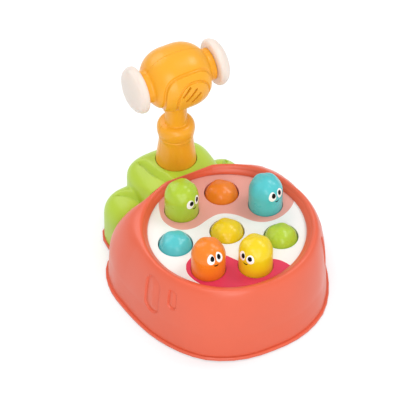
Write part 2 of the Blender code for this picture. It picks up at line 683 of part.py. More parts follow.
def deck_outline():
    """Circle with four ears for the deck's screws."""
    points = []
    steps = 72
    half_ear = EAR_HALF_WIDTH / EAR_REACH
    for k in range(steps):
        angle = math.tau * k / steps
        nearest = min(EAR_ANGLES, key=lambda ear: abs(angle - ear))
        if abs(angle - nearest) < half_ear / 2:
            for offset, reach in ((-1.3, DECK_RADIUS), (-0.9, EAR_REACH), (0.9, EAR_REACH), (1.3, DECK_RADIUS)):
                turn = nearest + offset * half_ear
                points.append((reach * math.cos(turn), DECK_Y + reach * math.sin(turn)))
        elif abs(angle - nearest) > 1.5 * half_ear:
            points.append((DECK_RADIUS * math.cos(angle), DECK_Y + DECK_RADIUS * math.sin(angle)))
    return points


def deck_plate():
    collar = [(HOLE_RADIUS + COLLAR_WALL, DECK_BOTTOM), (HOLE_RADIUS + COLLAR_WALL, COLLAR_BOTTOM),
              (HOLE_RADIUS, COLLAR_BOTTOM), (HOLE_RADIUS, DECK_HEIGHT)]
    screw = [(SCREW_HOLE_RADIUS, DECK_BOTTOM), (SCREW_HOLE_RADIUS, DECK_HEIGHT)]
    holes = [(place, ROUND, collar) for place in MOLE_PLACES.values()]
    holes += [(place, SMALL_ROUND, screw) for place in ear_screw_places()]
    return joined("deck_plate", [perforated([(deck_outline(), DECK_BOTTOM), (deck_outline(), DECK_HEIGHT)],
                                            holes)])


def mole(name, raised):
    """A cup with a lumpy dome, a stop lip round its foot and a stem that rides on the see-saw."""
    lift = 0 if raised else -MOLE_TRAVEL
    top = DECK_HEIGHT + MOLE_RISE
    foot = COLLAR_BOTTOM - TOUCH - MOLE_STOP_THICKNESS
    stop_radius = HOLE_RADIUS + MOLE_STOP_LIP
    dome_start = top - MOLE_RADIUS
    inner = MOLE_RADIUS - MOLE_WALL
    stem_foot = PIVOT_HEIGHT + ROCKER_SWING_HEIGHT + ROCKER_TIP_RADIUS + ROCKER_STEM_GAP
    profile = [(foot, stop_radius), (foot + MOLE_STOP_THICKNESS, stop_radius),
               (foot + MOLE_STOP_THICKNESS, MOLE_RADIUS), (dome_start, MOLE_RADIUS)]
    for share in (0.3, 0.58, 0.83):
        turn = math.pi / 2 * share
        profile.append((dome_start + MOLE_RADIUS * math.sin(turn), MOLE_RADIUS * math.cos(turn)))
    profile += [(top, 0)]
    hollow = [(foot, inner), (dome_start, inner)]
    for share in (0.45,):
        turn = math.pi / 2 * share
        hollow.append((dome_start + inner * math.sin(turn), inner * math.cos(turn)))
    hollow += [(dome_start + inner * math.sin(math.acos(MOLE_STEM_RADIUS / inner)), MOLE_STEM_RADIUS),
               (stem_foot, MOLE_STEM_RADIUS), (stem_foot, 0)]
    outline = [(stem_foot, 0)] + hollow[::-1][1:] + profile

    def lumpy(along, radius, angle):
        height = (along - dome_start) / MOLE_RADIUS
        outside = radius > inner * math.cos(math.asin(min(max(height, 0), 1)))
        if height <= 0 or not outside:
            return radius
        return radius - MOLE_LUMP_DEPTH * math.sin(math.pi * height) * (1 - math.cos(MOLE_LUMPS * angle)) / 2

    x, y = MOLE_PLACES[name]
    vertices, faces = revolved(outline, (x, y, lift), ROUND, "Z", lumpy)
    return add_object(name, vertices, faces, (x, y, DECK_HEIGHT))


def upright(shape):
    """A flat plate stood up: its height becomes depth along Y."""
    vertices, faces = shape
    return [(x, z, y) for x, y, z in vertices], faces


def rocker_outline(half):
    """Dog-bone outline: a hub in the middle and a round tip at each end."""
    beam = ROCKER_BEAM_THICKNESS / 2
    tip_turn = math.pi - math.asin(beam / ROCKER_TIP_RADIUS)
    hub_turn = math.asin(beam / ROCKER_HUB_RADIUS)
    points = []
    for side in (0, math.pi):
        for k in range(9):
            turn = side + tip_turn * (k / 4 - 1)
            points.append((half * math.cos(side) + ROCKER_TIP_RADIUS * math.cos(turn),
                           ROCKER_TIP_RADIUS * math.sin(turn)))
        for k in range(6):
            turn = side + hub_turn + (math.pi - 2 * hub_turn) * k / 5
            points.append((ROCKER_HUB_RADIUS * math.cos(turn), ROCKER_HUB_RADIUS * math.sin(turn)))
    return points


def rocker_mesh(name, half):
    bore = PIN_RADIUS + RUNNING
    edge = [(rocker_outline(half), -ROCKER_WIDTH / 2), (rocker_outline(half), ROCKER_WIDTH / 2)]
    hole = [((0, 0), 12, [(bore, -ROCKER_WIDTH / 2), (bore, ROCKER_WIDTH / 2)])]
    return joined(name, [upright(perforated(edge, hole))])


def bracket_mesh(name):
    """U bracket on the base plate: two ears beside the rocker and a foot with two screw holes."""
    floor = BASE_TOP + TOUCH - PIVOT_HEIGHT
    inside = ROCKER_WIDTH / 2 + TOUCH
    outside = inside + EAR_THICKNESS
    top = BRACKET_HALF_DEPTH
    step = floor + BRACKET_FOOT_THICKNESS
    half = [(BRACKET_FOOT_REACH, floor), (BRACKET_FOOT_REACH, step), (outside, step), (outside, top),
            (inside, top), (inside, step)]
    outline = half + [(-y, z) for y, z in reversed(half)]
    rings = [[(x, y, z) for y, z in outline] for x in (-BRACKET_HALF_DEPTH, BRACKET_HALF_DEPTH)]
    bracket = joined(name, [loft(rings)])
    holes = [cylinder((0, 0, 0), PIN_RADIUS + RUNNING, -outside - OVERRUN, outside + OVERRUN, 12, "Y")]
    holes += [cylinder((0, side * BRACKET_SCREW_OFFSET, 0), SCREW_HOLE_RADIUS, floor - OVERRUN, step + OVERRUN)
              for side in (-1, 1)]
    return combine(bracket, joined("holes", holes), "DIFFERENCE")


def see_saws(plastic, steel):
    half_pin = ROCKER_WIDTH / 2 + TOUCH + EAR_THICKNESS
    for label, raised, lowered in ROCKERS:
        pivot, heading, half, tilt = rocker_layout(raised, lowered)
        rocker = rocker_mesh("rocker_" + label, half)
        rocker.location = pivot
        rocker.rotation_euler = (Matrix.Rotation(heading, 3, "Z") @ Matrix.Rotation(-tilt, 3, "Y")).to_euler()
        finish(rocker, plastic)
        bracket = bracket_mesh("bracket_" + label)
        bracket.location = pivot
        bracket.rotation_euler = (0, 0, heading)
        finish(bracket, plastic)
        pin = joined("pin_" + label, [cylinder((0, 0, 0), PIN_RADIUS, -half_pin, half_pin, 12, "Y")])
        pin.location = pivot
        pin.rotation_euler = (0, 0, heading)
        finish(pin, steel)


def screw_mesh(name, length):
    """Screw whose head's underside is at the origin and whose shank points up."""
    return joined(name, [revolved([(-SCREW_HEAD_THICKNESS, 0), (-SCREW_HEAD_THICKNESS, SCREW_HEAD_RADIUS),
                                   (0, SCREW_HEAD_RADIUS), (0, SCREW_RADIUS), (length, SCREW_RADIUS),
                                   (length + SCREW_RADIUS, 0)], (0, 0, 0), SCREW_FACETS)])


def screw_set(label, places, height, length, steel):
    first = None
    for number, (x, y) in enumerate(places, 1):
        name = "%s_screw_%d" % (label, number)
        if first is None:
            first = finish(screw_mesh(name, length), steel)
            first.location = (x, y, height)
        else:
            copy_object(first, name, (x, y, height), (0, 0, 0))


def feet(rubber):
    across, ahead = FRONT_FOOT_SHARES
    places = [(side * BODY_HALF_WIDTH * across, DECK_Y - BODY_NOSE * ahead) for side in (-1, 1)]
    places += [(LEAF_LOBES[side][0][0], DECK_Y + LEAF_LOBES[side][0][1] - FOOT_RADIUS)
               for side in ("left", "right")]
    for number, (x, y) in enumerate(places, 1):
        finish(joined("foot_%d" % number, [cylinder((x, y, 0), FOOT_RADIUS, 0, FOOT_HEIGHT, ROUND)]), rubber)


def coarse(rows, inset):
    """Every row for a visible face, every second one for a hidden inner face."""
    return rows if inset <= 0 else rows[::2]


def head_profile(inset):
    """The head's half profile as (distance from the middle, radius); drawn in, it opens the necks."""
    length, radius = HEAD_HALF_LENGTH - inset, HEAD_RADIUS - inset
    shares = ((0.0, 1.0), (0.33, 0.99), (0.56, 0.93), (0.72, 0.855), (0.85, 0.755), (0.94, 0.66))
    points = [(length * a, radius * r) for a, r in coarse(shares, inset)]
    return points + [(length, NECK_RADIUS - inset), (NECK_END + inset, NECK_RADIUS - inset)]


def head_solid(inset):
    half = head_profile(inset)
    profile = [(-a, r) for a, r in reversed(half[1:])] + half
    profile = [(profile[0][0], 0)] + profile + [(profile[-1][0], 0)]
    return revolved(profile, (0, HAMMER_Y, HEAD_LEVEL), HEAD_FACETS, "X")


def cheek_prism():
    """Oval that cuts the raised panel out of a slightly larger head."""
    outline = superellipse(CHEEK_PLACE, CHEEK_HALF, CHEEK_POWER, HEAD_FACETS)
    rings = [[(x, y, HEAD_LEVEL + z) for x, z in outline]
             for y in (HAMMER_Y - HEAD_RADIUS - 3 * OVERRUN, HAMMER_Y - HEAD_RADIUS / 4)]
    return loft(rings)


def handle_solid(inset):
    plug_foot = -PLUG_DEPTH + inset
    profile = [(plug_foot, 0), (plug_foot, PLUG_RADIUS - inset), (-HANDLE_SKIRT + inset, PLUG_RADIUS - inset),
               (-HANDLE_SKIRT + inset, HANDLE_RADIUS - inset), (0, HANDLE_RADIUS - inset)]
    profile += [(height, radius - inset) for height, radius in coarse(HANDLE_PROFILE, inset)]
    last = HANDLE_PROFILE[-1][1] - inset
    profile += [(HEAD_HEIGHT, last), (HEAD_HEIGHT, 0)]
    return revolved(profile, (0, HAMMER_Y, HAMMER_LEVEL), ROUND)


def hammer_volume(name, inset):
    return combine(joined(name, [head_solid(inset)]), joined("handle", [handle_solid(inset)]), "UNION")


def hammer_boss_heights():
    """Heights of the three screws that hold the hammer's halves together."""
    return (HAMMER_LEVEL + HANDLE_PROFILE[0][0], HAMMER_LEVEL + HANDLE_PROFILE[4][0],
            HEAD_LEVEL + HEAD_RADIUS * HEAD_BOSS_SHARE)


def slot_cutters():
    """Three slanting sound slots through the front of the head."""
    shapes = []
    deep = HAMMER_Y - HEAD_RADIUS - 3 * OVERRUN
    for k, length in enumerate(SLOT_LENGTHS):
        offset = (k - 1) * SLOT_PITCH
        half = (length / 2, SLOT_WIDTH / 2)
        corners = [(-half[0], -half[1]), (half[0], -half[1]), (half[0], half[1]), (-half[0], half[1])]
        turned = [((u + offset - v) * math.sqrt(0.5), (u - offset + v) * math.sqrt(0.5)) for u, v in corners]
        rings = [[(SLOT_PLACE[0] + x, y, HEAD_LEVEL + SLOT_PLACE[1] + z) for x, z in turned]
                 for y in (deep, squeaker_front() + OVERRUN)]
        shapes.append(loft(rings))
    return shapes


def squeaker_front():
    return HAMMER_Y - SQUEAKER_DEPTH - SQUEAKER_LENGTH


def hammer_halves(plastic):
    outer = hammer_volume("hammer", 0)
    cheek = combine(joined("cheek", [head_solid(-CHEEK_RISE)]), joined("prism", [cheek_prism()]), "INTERSECT")
    combine(outer, cheek, "UNION")
    cavity = hammer_volume("cavity", HAMMER_WALL)
    far = 2 * HEAD_RADIUS
    posts = [cylinder((0, HAMMER_Y, z), HAMMER_BOSS_RADIUS, -far, far, SMALL_ROUND, "Y")
             for z in hammer_boss_heights()]
    combine(cavity, joined("posts", posts), "DIFFERENCE")
    seat = (SLOT_PLACE[0], 0, HEAD_LEVEL + SLOT_PLACE[1])
    ring_outer = SQUEAKER_RADIUS + TOUCH + HAMMER_WALL
    ring = cylinder(seat, ring_outer, HAMMER_Y - far, HAMMER_Y - SQUEAKER_DEPTH, ROUND, "Y")
    combine(cavity, joined("ring", [ring]), "DIFFERENCE")
    combine(outer, cavity, "DIFFERENCE")
    chamber = cylinder(seat, SQUEAKER_RADIUS + TOUCH, squeaker_front() - TOUCH,
                       HAMMER_Y - SQUEAKER_DEPTH + OVERRUN, ROUND, "Y")
    combine(outer, joined("chamber", [chamber]), "DIFFERENCE")
    combine(outer, joined("slots", slot_cutters()), "DIFFERENCE")
    holes = []
    for z in hammer_boss_heights():
        holes.append(cylinder((0, HAMMER_Y, z), SCREW_HOLE_RADIUS, -HAMMER_SCREW_LENGTH, far, 8, "Y"))
        holes.append(cylinder((0, HAMMER_Y, z), COUNTERBORE_RADIUS, screw_seat(), far, SMALL_ROUND, "Y"))
    for hole in holes:
        combine(outer, joined("hole", [hole]), "DIFFERENCE")
    wide = 2 * HEAD_RADIUS
    for name, low, high in (("hammer_front_shell", -TOUCH / 2, wide), ("hammer_back_shell", -wide, TOUCH / 2)):
        shell = copy_object(outer, name, (0, 0, 0), (0, 0, 0))
        shell.data = outer.data.copy()
        cut = box((-wide, HAMMER_Y + low, 0), (wide, HAMMER_Y + high, HEAD_LEVEL + wide))
        finish(combine(shell, joined("cut", [cut]), "DIFFERENCE"), plastic)
    bpy.data.objects.remove(outer, do_unlink=True)


def screw_seat():
    """Distance behind the hammer's axis at which a screw head's underside bears."""
    return HANDLE_PROFILE[2][1] / 2


def hammer_pad(name, side, soft):
    plug = NECK_RADIUS - HAMMER_WALL - TOUCH
    inner = NECK_END + TOUCH
    outer = inner + PAD_THICKNESS
    profile = [(NECK_END - PAD_PLUG_LENGTH, 0), (NECK_END - PAD_PLUG_LENGTH, plug), (inner, plug)]
    for along_share, radius_share in ((0.0, 0.87), (0.08, 0.965), (0.24, 1.0), (0.48, 0.965), (0.72, 0.85),
                                      (0.9, 0.6)):
        profile.append((inner + (outer - inner) * along_share, PAD_RADIUS * radius_share))
    profile.append((outer, 0))
    profile = [(side * along, radius) for along, radius in profile]
    pad = joined(name, [revolved(profile, (0, HAMMER_Y, HEAD_LEVEL), HEAD_FACETS, "X")])
    return finish(pad, soft)


def hammer_screws(steel):
    for number, z in enumerate(hammer_boss_heights(), 1):
        screw = screw_mesh("hammer_screw_%d" % number, screw_seat() + HAMMER_SCREW_LENGTH / 2)
        screw.rotation_euler = (math.pi / 2, 0, 0)
        screw.location = (0, HAMMER_Y + screw_seat() + TOUCH, z)
        finish(screw, steel)


def build():
    clear_scene()
    coral = make_material("coral plastic", CORAL)
    green = make_material("green plastic", GREEN)
    orange = make_material("orange plastic", ORANGE)
    grey = make_material("grey plastic", GREY, 0.5)
    steel = make_material("zinc steel", GREY, 0.35, 1.0)
    rubber = make_material("rubber", DARK, 0.8)
    finish(base_plate(), coral)
    finish(body_shell(), coral)
    finish(leaf_cover(), green)
    finish(deck_plate(), make_material("white plastic", WHITE))
    for name, colour, _, raised in MOLES:
        finish(mole(name, raised), make_material(name + " plastic", colour))
    see_saws(grey, steel)
    feet(rubber)
    seat = BASE_BOTTOM + SCREW_HEAD_THICKNESS
    screw_set("body", body_boss_places(), seat, BASE_SCREW_LENGTH, steel)
    screw_set("leaf", leaf_boss_places(), seat, BASE_SCREW_LENGTH, steel)
    screw_set("bracket", bracket_screw_places(), seat, BRACKET_SCREW_LENGTH, steel)
    screw_set("deck", ear_screw_places(), DECK_BOTTOM - TOUCH, DECK_SCREW_LENGTH, steel)
    hammer_halves(orange)
    soft = make_material("soft pad", CREAM, 0.5)
    hammer_pad("hammer_pad_left", -1, soft)
    hammer_pad("hammer_pad_right", 1, soft)
    squeaker = cylinder((SLOT_PLACE[0], 0, HEAD_LEVEL + SLOT_PLACE[1]), SQUEAKER_RADIUS, squeaker_front(),
                        HAMMER_Y - SQUEAKER_DEPTH, ROUND, "Y")
    finish(joined("hammer_squeaker", [squeaker]), grey)
    hammer_screws(steel)


build()
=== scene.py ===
# %% [markdown]
# # A mole pounding game
#
# The object is a toddler's game: a shell shaped like a carrot holds a round deck with eight lumpy
# moles, and a hammer with two soft pads stands in the carrot's leaf. Push a raised mole down and
# its partner pops up, because each pair rides on a see-saw inside the shell.
#
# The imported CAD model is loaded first. It gives the frame: every piece made below sits where its
# CAD solid sits, and moves with the same body. The CAD solids have few facets, so the pieces that
# show are made again here with smooth surfaces, and the small hidden ones only get better
# materials.

# %% Load the frame
import math

import bmesh
import bpy
import numpy as np
from mathutils import Matrix, Vector


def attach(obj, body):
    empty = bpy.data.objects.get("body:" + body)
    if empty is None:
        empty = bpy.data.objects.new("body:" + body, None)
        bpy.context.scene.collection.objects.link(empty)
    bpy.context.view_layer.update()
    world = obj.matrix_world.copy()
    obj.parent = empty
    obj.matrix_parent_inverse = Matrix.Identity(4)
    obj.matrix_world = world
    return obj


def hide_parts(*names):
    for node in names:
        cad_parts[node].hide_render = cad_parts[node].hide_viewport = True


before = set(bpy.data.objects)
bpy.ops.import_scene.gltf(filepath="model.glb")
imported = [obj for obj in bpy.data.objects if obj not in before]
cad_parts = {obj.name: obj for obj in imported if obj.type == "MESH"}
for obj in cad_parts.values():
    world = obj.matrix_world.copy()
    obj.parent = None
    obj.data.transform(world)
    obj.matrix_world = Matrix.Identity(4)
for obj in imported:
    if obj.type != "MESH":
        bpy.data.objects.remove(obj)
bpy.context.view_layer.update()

# %% [markdown]
# ## Sizes shared by several pieces
#
# The model is in metres, and the toy is easier to read in millimetres, so each length is written
# times MM. The deck is the reference: its centre, its top face and its turn in the picture place
# the rest. Points closer together than MERGE count as one.

# %% Sizes of the deck, the hammer and the picture
MM = 0.001
MERGE = 0.001 * MM
DECK_Y = -20.75 * MM
DECK_TOP = 75 * MM
WINDOW_RADIUS = 75.6 * MM
BASE_PLATE_TOP = 4.8 * MM
HAMMER_Y = 84.75 * MM
HEAD_LEVEL = 190 * MM
PICTURE_TURN = math.radians(-27.5)
print("deck top at", DECK_TOP, "m and hammer head at", HEAD_LEVEL, "m above the table")

# %% [markdown]
# ## The camera
#
# The picture was taken from the front left and well above, with a long lens, so upright lines stay
# nearly parallel. The camera looks back along one direction, and its frame is 0.38 m wide at the
# deck.

# %% Camera
def place_camera(elevation, lens, frame_width, aim_offset):
    back = Vector((math.sin(PICTURE_TURN) * math.cos(elevation),
                   -math.cos(PICTURE_TURN) * math.cos(elevation), math.sin(elevation)))
    right = Vector((math.cos(PICTURE_TURN), math.sin(PICTURE_TURN), 0))
    up = back.cross(right)
    aim = Vector((0, DECK_Y, DECK_TOP)) - right * aim_offset[0] + up * aim_offset[1]
    data = bpy.data.cameras.new("camera")
    data.sensor_width = 36
    data.lens = lens
    data.clip_end = 30
    data.dof.use_dof = False
    camera = bpy.data.objects.new("camera", data)
    distance = frame_width * lens / data.sensor_width
    camera.matrix_world = (Matrix.Translation(aim + back * distance)
                           @ Matrix((right, up, back)).transposed().to_4x4())
    bpy.context.scene.collection.objects.link(camera)
    bpy.context.scene.camera = camera
    return camera


camera = place_camera(elevation=math.radians(46), lens=360, frame_width=0.38,
                      aim_offset=(25.65 * MM, 29.735 * MM))
print("camera stands", round(camera.matrix_world.translation.length, 2), "m from the origin")

# %% [markdown]
# ## Moulded plastic
#
# Nearly all of the toy is injection-moulded ABS. Its colour isn't perfectly even: the melt leaves
# faint broad clouds, the mould's fine skin breaks up the gloss, and handling polishes it in
# patches. One helper builds that as nodes: a broad noise shifts the colour, a middle one the
# roughness, and a very fine one gives a bump a few hundredths of a millimetre deep.

# %% Material helper for moulded plastic
POLISHED = 0.05
SCUFFED = 0.07


def shader_of(material):
    return material.node_tree.nodes["Principled BSDF"]


def adjust(node, values):
    for name, value in values.items():
        node.inputs[name].default_value = value


def moulded_plastic(name, colour, roughness, clouds=0.05, skin=0.04 * MM, skin_scale=1400):
    """clouds is the share by which the colour varies, and skin is the depth of the fine bump."""
    material = bpy.data.materials.new(name)
    material.use_nodes = True
    nodes, links = material.node_tree.nodes, material.node_tree.links
    shader = shader_of(material)
    adjust(shader, {"IOR": 1.5, "Specular IOR Level": 0.4})
    place = nodes.new("ShaderNodeTexCoord")

    def noise(scale, detail):
        node = nodes.new("ShaderNodeTexNoise")
        adjust(node, {"Scale": scale, "Detail": detail})
        links.new(place.outputs["Object"], node.inputs["Vector"])
        return node.outputs["Fac"]

    broad = noise(scale=22, detail=3)
    tint = nodes.new("ShaderNodeMix")
    tint.data_type = "RGBA"
    adjust(tint, {"A": (*[value * (1 - clouds) for value in colour], 1),
                  "B": (*[min(1, value * (1 + clouds)) for value in colour], 1)})
    links.new(broad, tint.inputs["Factor"])
    links.new(tint.outputs["Result"], shader.inputs["Base Color"])

    worn = noise(scale=70, detail=4)
    gloss = nodes.new("ShaderNodeMapRange")
    adjust(gloss, {"To Min": roughness - POLISHED, "To Max": roughness + SCUFFED})
    links.new(worn, gloss.inputs["Value"])
    links.new(gloss.outputs["Result"], shader.inputs["Roughness"])

    grain = noise(scale=skin_scale, detail=2)
    relief = nodes.new("ShaderNodeBump")
    adjust(relief, {"Strength": 0.35, "Distance": skin})
    links.new(grain, relief.inputs["Height"])
    links.new(relief.outputs["Normal"], shader.inputs["Normal"])
    return material


coral_plastic = moulded_plastic("coral_plastic", (0.74, 0.121, 0.058), 0.30)
leaf_plastic = moulded_plastic("leaf_plastic", (0.45, 0.62, 0.04), 0.33)
hammer_plastic = moulded_plastic("hammer_plastic", (0.84, 0.375, 0.018), 0.30)
mole_colours = {"green": (0.41, 0.58, 0.035), "orange": (0.84, 0.215, 0.014),
                "blue": (0.085, 0.53, 0.56), "yellow": (0.8, 0.59, 0.008)}
mole_plastics = {name: moulded_plastic("mole_" + name + "_plastic", colour, 0.28, 0.04)
                 for name, colour in mole_colours.items()}
print("plastics made:", len(bpy.data.materials))

# %% [markdown]
# ## Soft pads, printed marks, steel and rubber
#
# The pads on the hammer are a soft, milky elastomer: light goes a little way in, so its shaded
# side stays warm. The white print on the moles is glossy ink and the black is matt. Steel screws
# and pins have a fine grain, and the rubber feet and the grey inner plastic are dull.

# %% Material for the milky pads
milky_pad = moulded_plastic("milky_pad", (0.8, 0.69, 0.61), 0.34, 0.03, 0.03 * MM, 900)
adjust(shader_of(milky_pad), {"Subsurface Weight": 0.25, "Subsurface Scale": 3 * MM,
                              "Subsurface Radius": (1.0, 0.6, 0.45)})
print("milky pad ready")

# %% Materials for ink, rubber and the inner plastic
white_ink = moulded_plastic("white_ink", (0.93, 0.92, 0.9), 0.28, 0.02)
black_ink = moulded_plastic("black_ink", (0.004, 0.004, 0.004), 0.30, 0.10)
adjust(shader_of(black_ink), {"Specular IOR Level": 0.1})
grey_plastic = moulded_plastic("grey_inner_plastic", (0.55, 0.56, 0.58), 0.50)
foot_rubber = moulded_plastic("foot_rubber", (0.08, 0.08, 0.085), 0.72, 0.12, 0.12 * MM, 700)
squeaker_plastic = moulded_plastic("squeaker_plastic", (0.60, 0.58, 0.54), 0.45)
print("inks and dull finishes ready")

# %% Material for zinc-plated steel
zinc_steel = moulded_plastic("zinc_steel", (0.62, 0.62, 0.60), 0.30, 0.06, 0.03 * MM, 2600)
adjust(shader_of(zinc_steel), {"Metallic": 1.0})
print("finishes made:", len(bpy.data.materials))

# %% [markdown]
# ## Helpers for turned and finished pieces
#
# Many pieces are round: the moles, the pads, the handle. Each starts as a few points of its
# profile, which the spin operator turns a full circle round an axis. to_mesh merges doubles, turns
# all faces outward, writes the mesh and shades it smooth up to a crease angle, and finish_piece
# hands the result to the frame.

# %% Spin a profile and finish a piece
def in_mm(pairs):
    return [(a * MM, b * MM) for a, b in pairs]


def points_in(items):
    return [item for item in items if isinstance(item, bmesh.types.BMVert)]


def turned(shape, profile, centre, axis="Z", steps=96):
    """Spins (along, radius) points a full turn round the axis through the centre."""
    along = Vector((0, 0, 1)) if axis == "Z" else Vector((1, 0, 0))
    across = Vector((1, 0, 0)) if axis == "Z" else Vector((0, 0, 1))
    points = [shape.verts.new(centre + along * a + across * r) for a, r in profile]
    edges = [shape.edges.new(pair) for pair in zip(points, points[1:])]
    bmesh.ops.spin(shape, geom=points + edges, cent=centre, axis=along, angle=math.tau,
                   steps=steps, use_merge=True, use_duplicate=False)
    bmesh.ops.remove_doubles(shape, verts=shape.verts, dist=MERGE)
    return shape


def to_mesh(name, shape, finishes, crease=35):
    """Makes a smooth piece and uses up the shape; edges above the crease angle stay sharp."""
    bmesh.ops.remove_doubles(shape, verts=shape.verts, dist=MERGE)
    bmesh.ops.recalc_face_normals(shape, faces=shape.faces)
    mesh = bpy.data.meshes.new(name)
    shape.to_mesh(mesh)
    shape.free()
    for finish in finishes:
        mesh.materials.append(finish)
    mesh.shade_smooth()
    mesh.set_sharp_from_angle(angle=math.radians(crease))
    piece = bpy.data.objects.new(name, mesh)
    bpy.context.scene.collection.objects.link(piece)
    return piece


def finish_piece(name, shape, finishes, body, *nodes, slot=None, crease=35):
    """Makes the piece, lets it ride its body, and takes the place of the CAD nodes named."""
    piece = to_mesh(name, shape, finishes, crease)
    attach(piece, body)
    if nodes:
        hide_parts(*nodes)
    print(name, len(piece.data.polygons), "faces")

# %% [markdown]
# Other forms grow ring by ring: the last ring of edges is extruded, and the new one is set to its
# place. Lines and dents are pressed in with soft ramps, so that their edges catch the light as
# moulded ones do.

# %% Grow a form by rings, and ramps for pressing
def loop_edges(shape, ring):
    return [shape.edges.get(pair) for pair in zip(ring, ring[1:] + ring[:1])]


def next_ring(shape, ring):
    """Extrudes the ring's edges and returns the new ring in the same order."""
    grown = bmesh.ops.extrude_edge_only(shape, edges=loop_edges(shape, ring))["geom"]
    fresh = set(points_in(grown))
    return [next(edge.other_vert(vertex) for edge in vertex.link_edges
                 if edge.other_vert(vertex) in fresh) for vertex in ring]


def stack_rings(shape, steps, levels, place):
    """Sets one ring per level, point by point with place(direction, *level); closes both ends."""
    ring = bmesh.ops.create_circle(shape, segments=steps, radius=1)["verts"]
    ring.sort(key=lambda vertex: math.atan2(vertex.co.y, vertex.co.x))
    directions = [math.atan2(vertex.co.y, vertex.co.x) for vertex in ring]
    foot = ring
    for number, level in enumerate(levels):
        ring = next_ring(shape, ring) if number else ring
        for vertex, direction in zip(ring, directions):
            vertex.co = place(direction, *level)
    for end in (foot, ring):
        bmesh.ops.contextual_create(shape, geom=loop_edges(shape, end))


def eased(share):
    """A ramp from 0 to 1 with a soft start and end."""
    share = max(0, min(1, share))
    return share * share * (3 - 2 * share)


def faded(gap, reach):
    """1 on a line and 0 at its reach, with a soft start and end."""
    return 0.5 + 0.5 * math.cos(math.pi * gap / reach)

# %% [markdown]
# ## The carrot's shell
#
# One coral moulding forms the walls, the round shoulder and the rim that slopes down to the deck.
# In plan it is a rounded shield with a flat back against the leaf. Every level of it is one ring,
# whose reach at each angle comes from the plan's outline.

# %% Reach of the shell's plan at each angle
SHELL_STEPS = 720
shell_angles = np.array([math.tau * k / SHELL_STEPS - math.pi / 2 for k in range(SHELL_STEPS)])
# shares of the half width and of the nose's reach, from the nose round the right to the back
outline_shares = (
    (0, -1), (0.19, -0.99), (0.35, -0.95), (0.495, -0.882), (0.625, -0.788), (0.73, -0.663),
    (0.812, -0.526), (0.877, -0.38), (0.926, -0.23), (0.965, -0.03), (0.99, 0.2), (1, 0.4),
    (0.975, 0.57), (0.93, 0.7), (0.86, 0.81), (0.75, 0.868), (0.6, 0.89), (0.3, 0.89), (0, 0.89))


def plan_points(half_width, nose, back):
    """The plan as a closed Catmull-Rom curve through the share points, mirrored in X."""
    right = [(x * half_width, y * nose) for x, y in outline_shares]
    knots = np.array(right + [(-x, y) for x, y in reversed(right[1:-1])])
    points = []
    for k in range(len(knots)):
        before, start, end, after = (knots[(k + j) % len(knots)] for j in (-1, 0, 1, 2))
        for t in np.arange(0, 1, 0.125):
            points.append(0.5 * (2 * start + (end - before) * t
                                 + (2 * before - 5 * start + 4 * end - after) * t * t
                                 + (3 * start - before - 3 * end + after) * t ** 3))
    points = np.array(points)
    points[:, 1] = np.minimum(points[:, 1], back)
    return points


def plan_reach(points, angles):
    """Distance from the deck's centre to the plan's outline along each angle."""
    turn = np.unwrap(np.arctan2(points[:, 1], points[:, 0]))
    distance = np.hypot(points[:, 0], points[:, 1])
    return np.interp(angles, turn, distance, period=math.tau)


shell_plan = plan_points(half_width=101.5 * MM, nose=94.5 * MM, back=82 * MM)
shell_reach = plan_reach(shell_plan, shell_angles)
print("shell reach from", round(shell_reach.min(), 4), "to", round(shell_reach.max(), 4))

# %% [markdown]
# The rim is highest and widest at the nose, and lower and narrower towards the leaf. A blend that
# runs from 0 at the nose to 1 at the back steers both, and also how round the shoulder is. The
# rim's inner slope falls almost straight to the deck, with one slight crease near its middle.

# %% Rings of the shell, from the foot over the shoulder to the deck
SHOULDER_START = 30 * MM
WALL_LEAN = 1.5 * MM
LEAST_SHOULDER = 2.5 * MM
RIM_DROP = 7 * MM
LIP_LEVEL = DECK_TOP + 0.3 * MM

blend_start, blend_end = math.sin(math.radians(-30)), math.sin(math.radians(12))
to_back = np.clip((np.sin(shell_angles) - blend_start) / (blend_end - blend_start), 0, 1)
to_left = (1 - np.cos(shell_angles)) / 2
back_power = 1.4 + 0.35 * to_left
roundness = 2 / (2 + (back_power - 2) * to_back)
rim_width = (9 - 2.6 * to_back) * MM
crest_radius = np.minimum(WINDOW_RADIUS + rim_width, shell_reach - WALL_LEAN - LEAST_SHOULDER)
crest_height = (85 - 2 * to_back) * MM


def level_ring(radius, height):
    return np.full(SHELL_STEPS, radius), np.full(SHELL_STEPS, height)


def shell_rings(wall, crest_radius, crest_height, levels, turns):
    """(radii, heights) of each ring of one skin: levels up the wall, then turns to the crest."""
    rings = []
    for k in range(levels + 1):
        height = BASE_PLATE_TOP + (SHOULDER_START - BASE_PLATE_TOP) * k / levels
        rings.append((wall - WALL_LEAN * k / levels, np.full(SHELL_STEPS, height)))
    shoulder = wall - WALL_LEAN
    for k in range(1, turns + 1):
        turn = math.pi / 2 * k / turns
        level = math.sin(turn) ** roundness
        inward = (math.cos(turn) if k < turns else 0) ** roundness
        rings.append((crest_radius + (shoulder - crest_radius) * inward,
                      SHOULDER_START + (crest_height - SHOULDER_START) * level))
    return rings


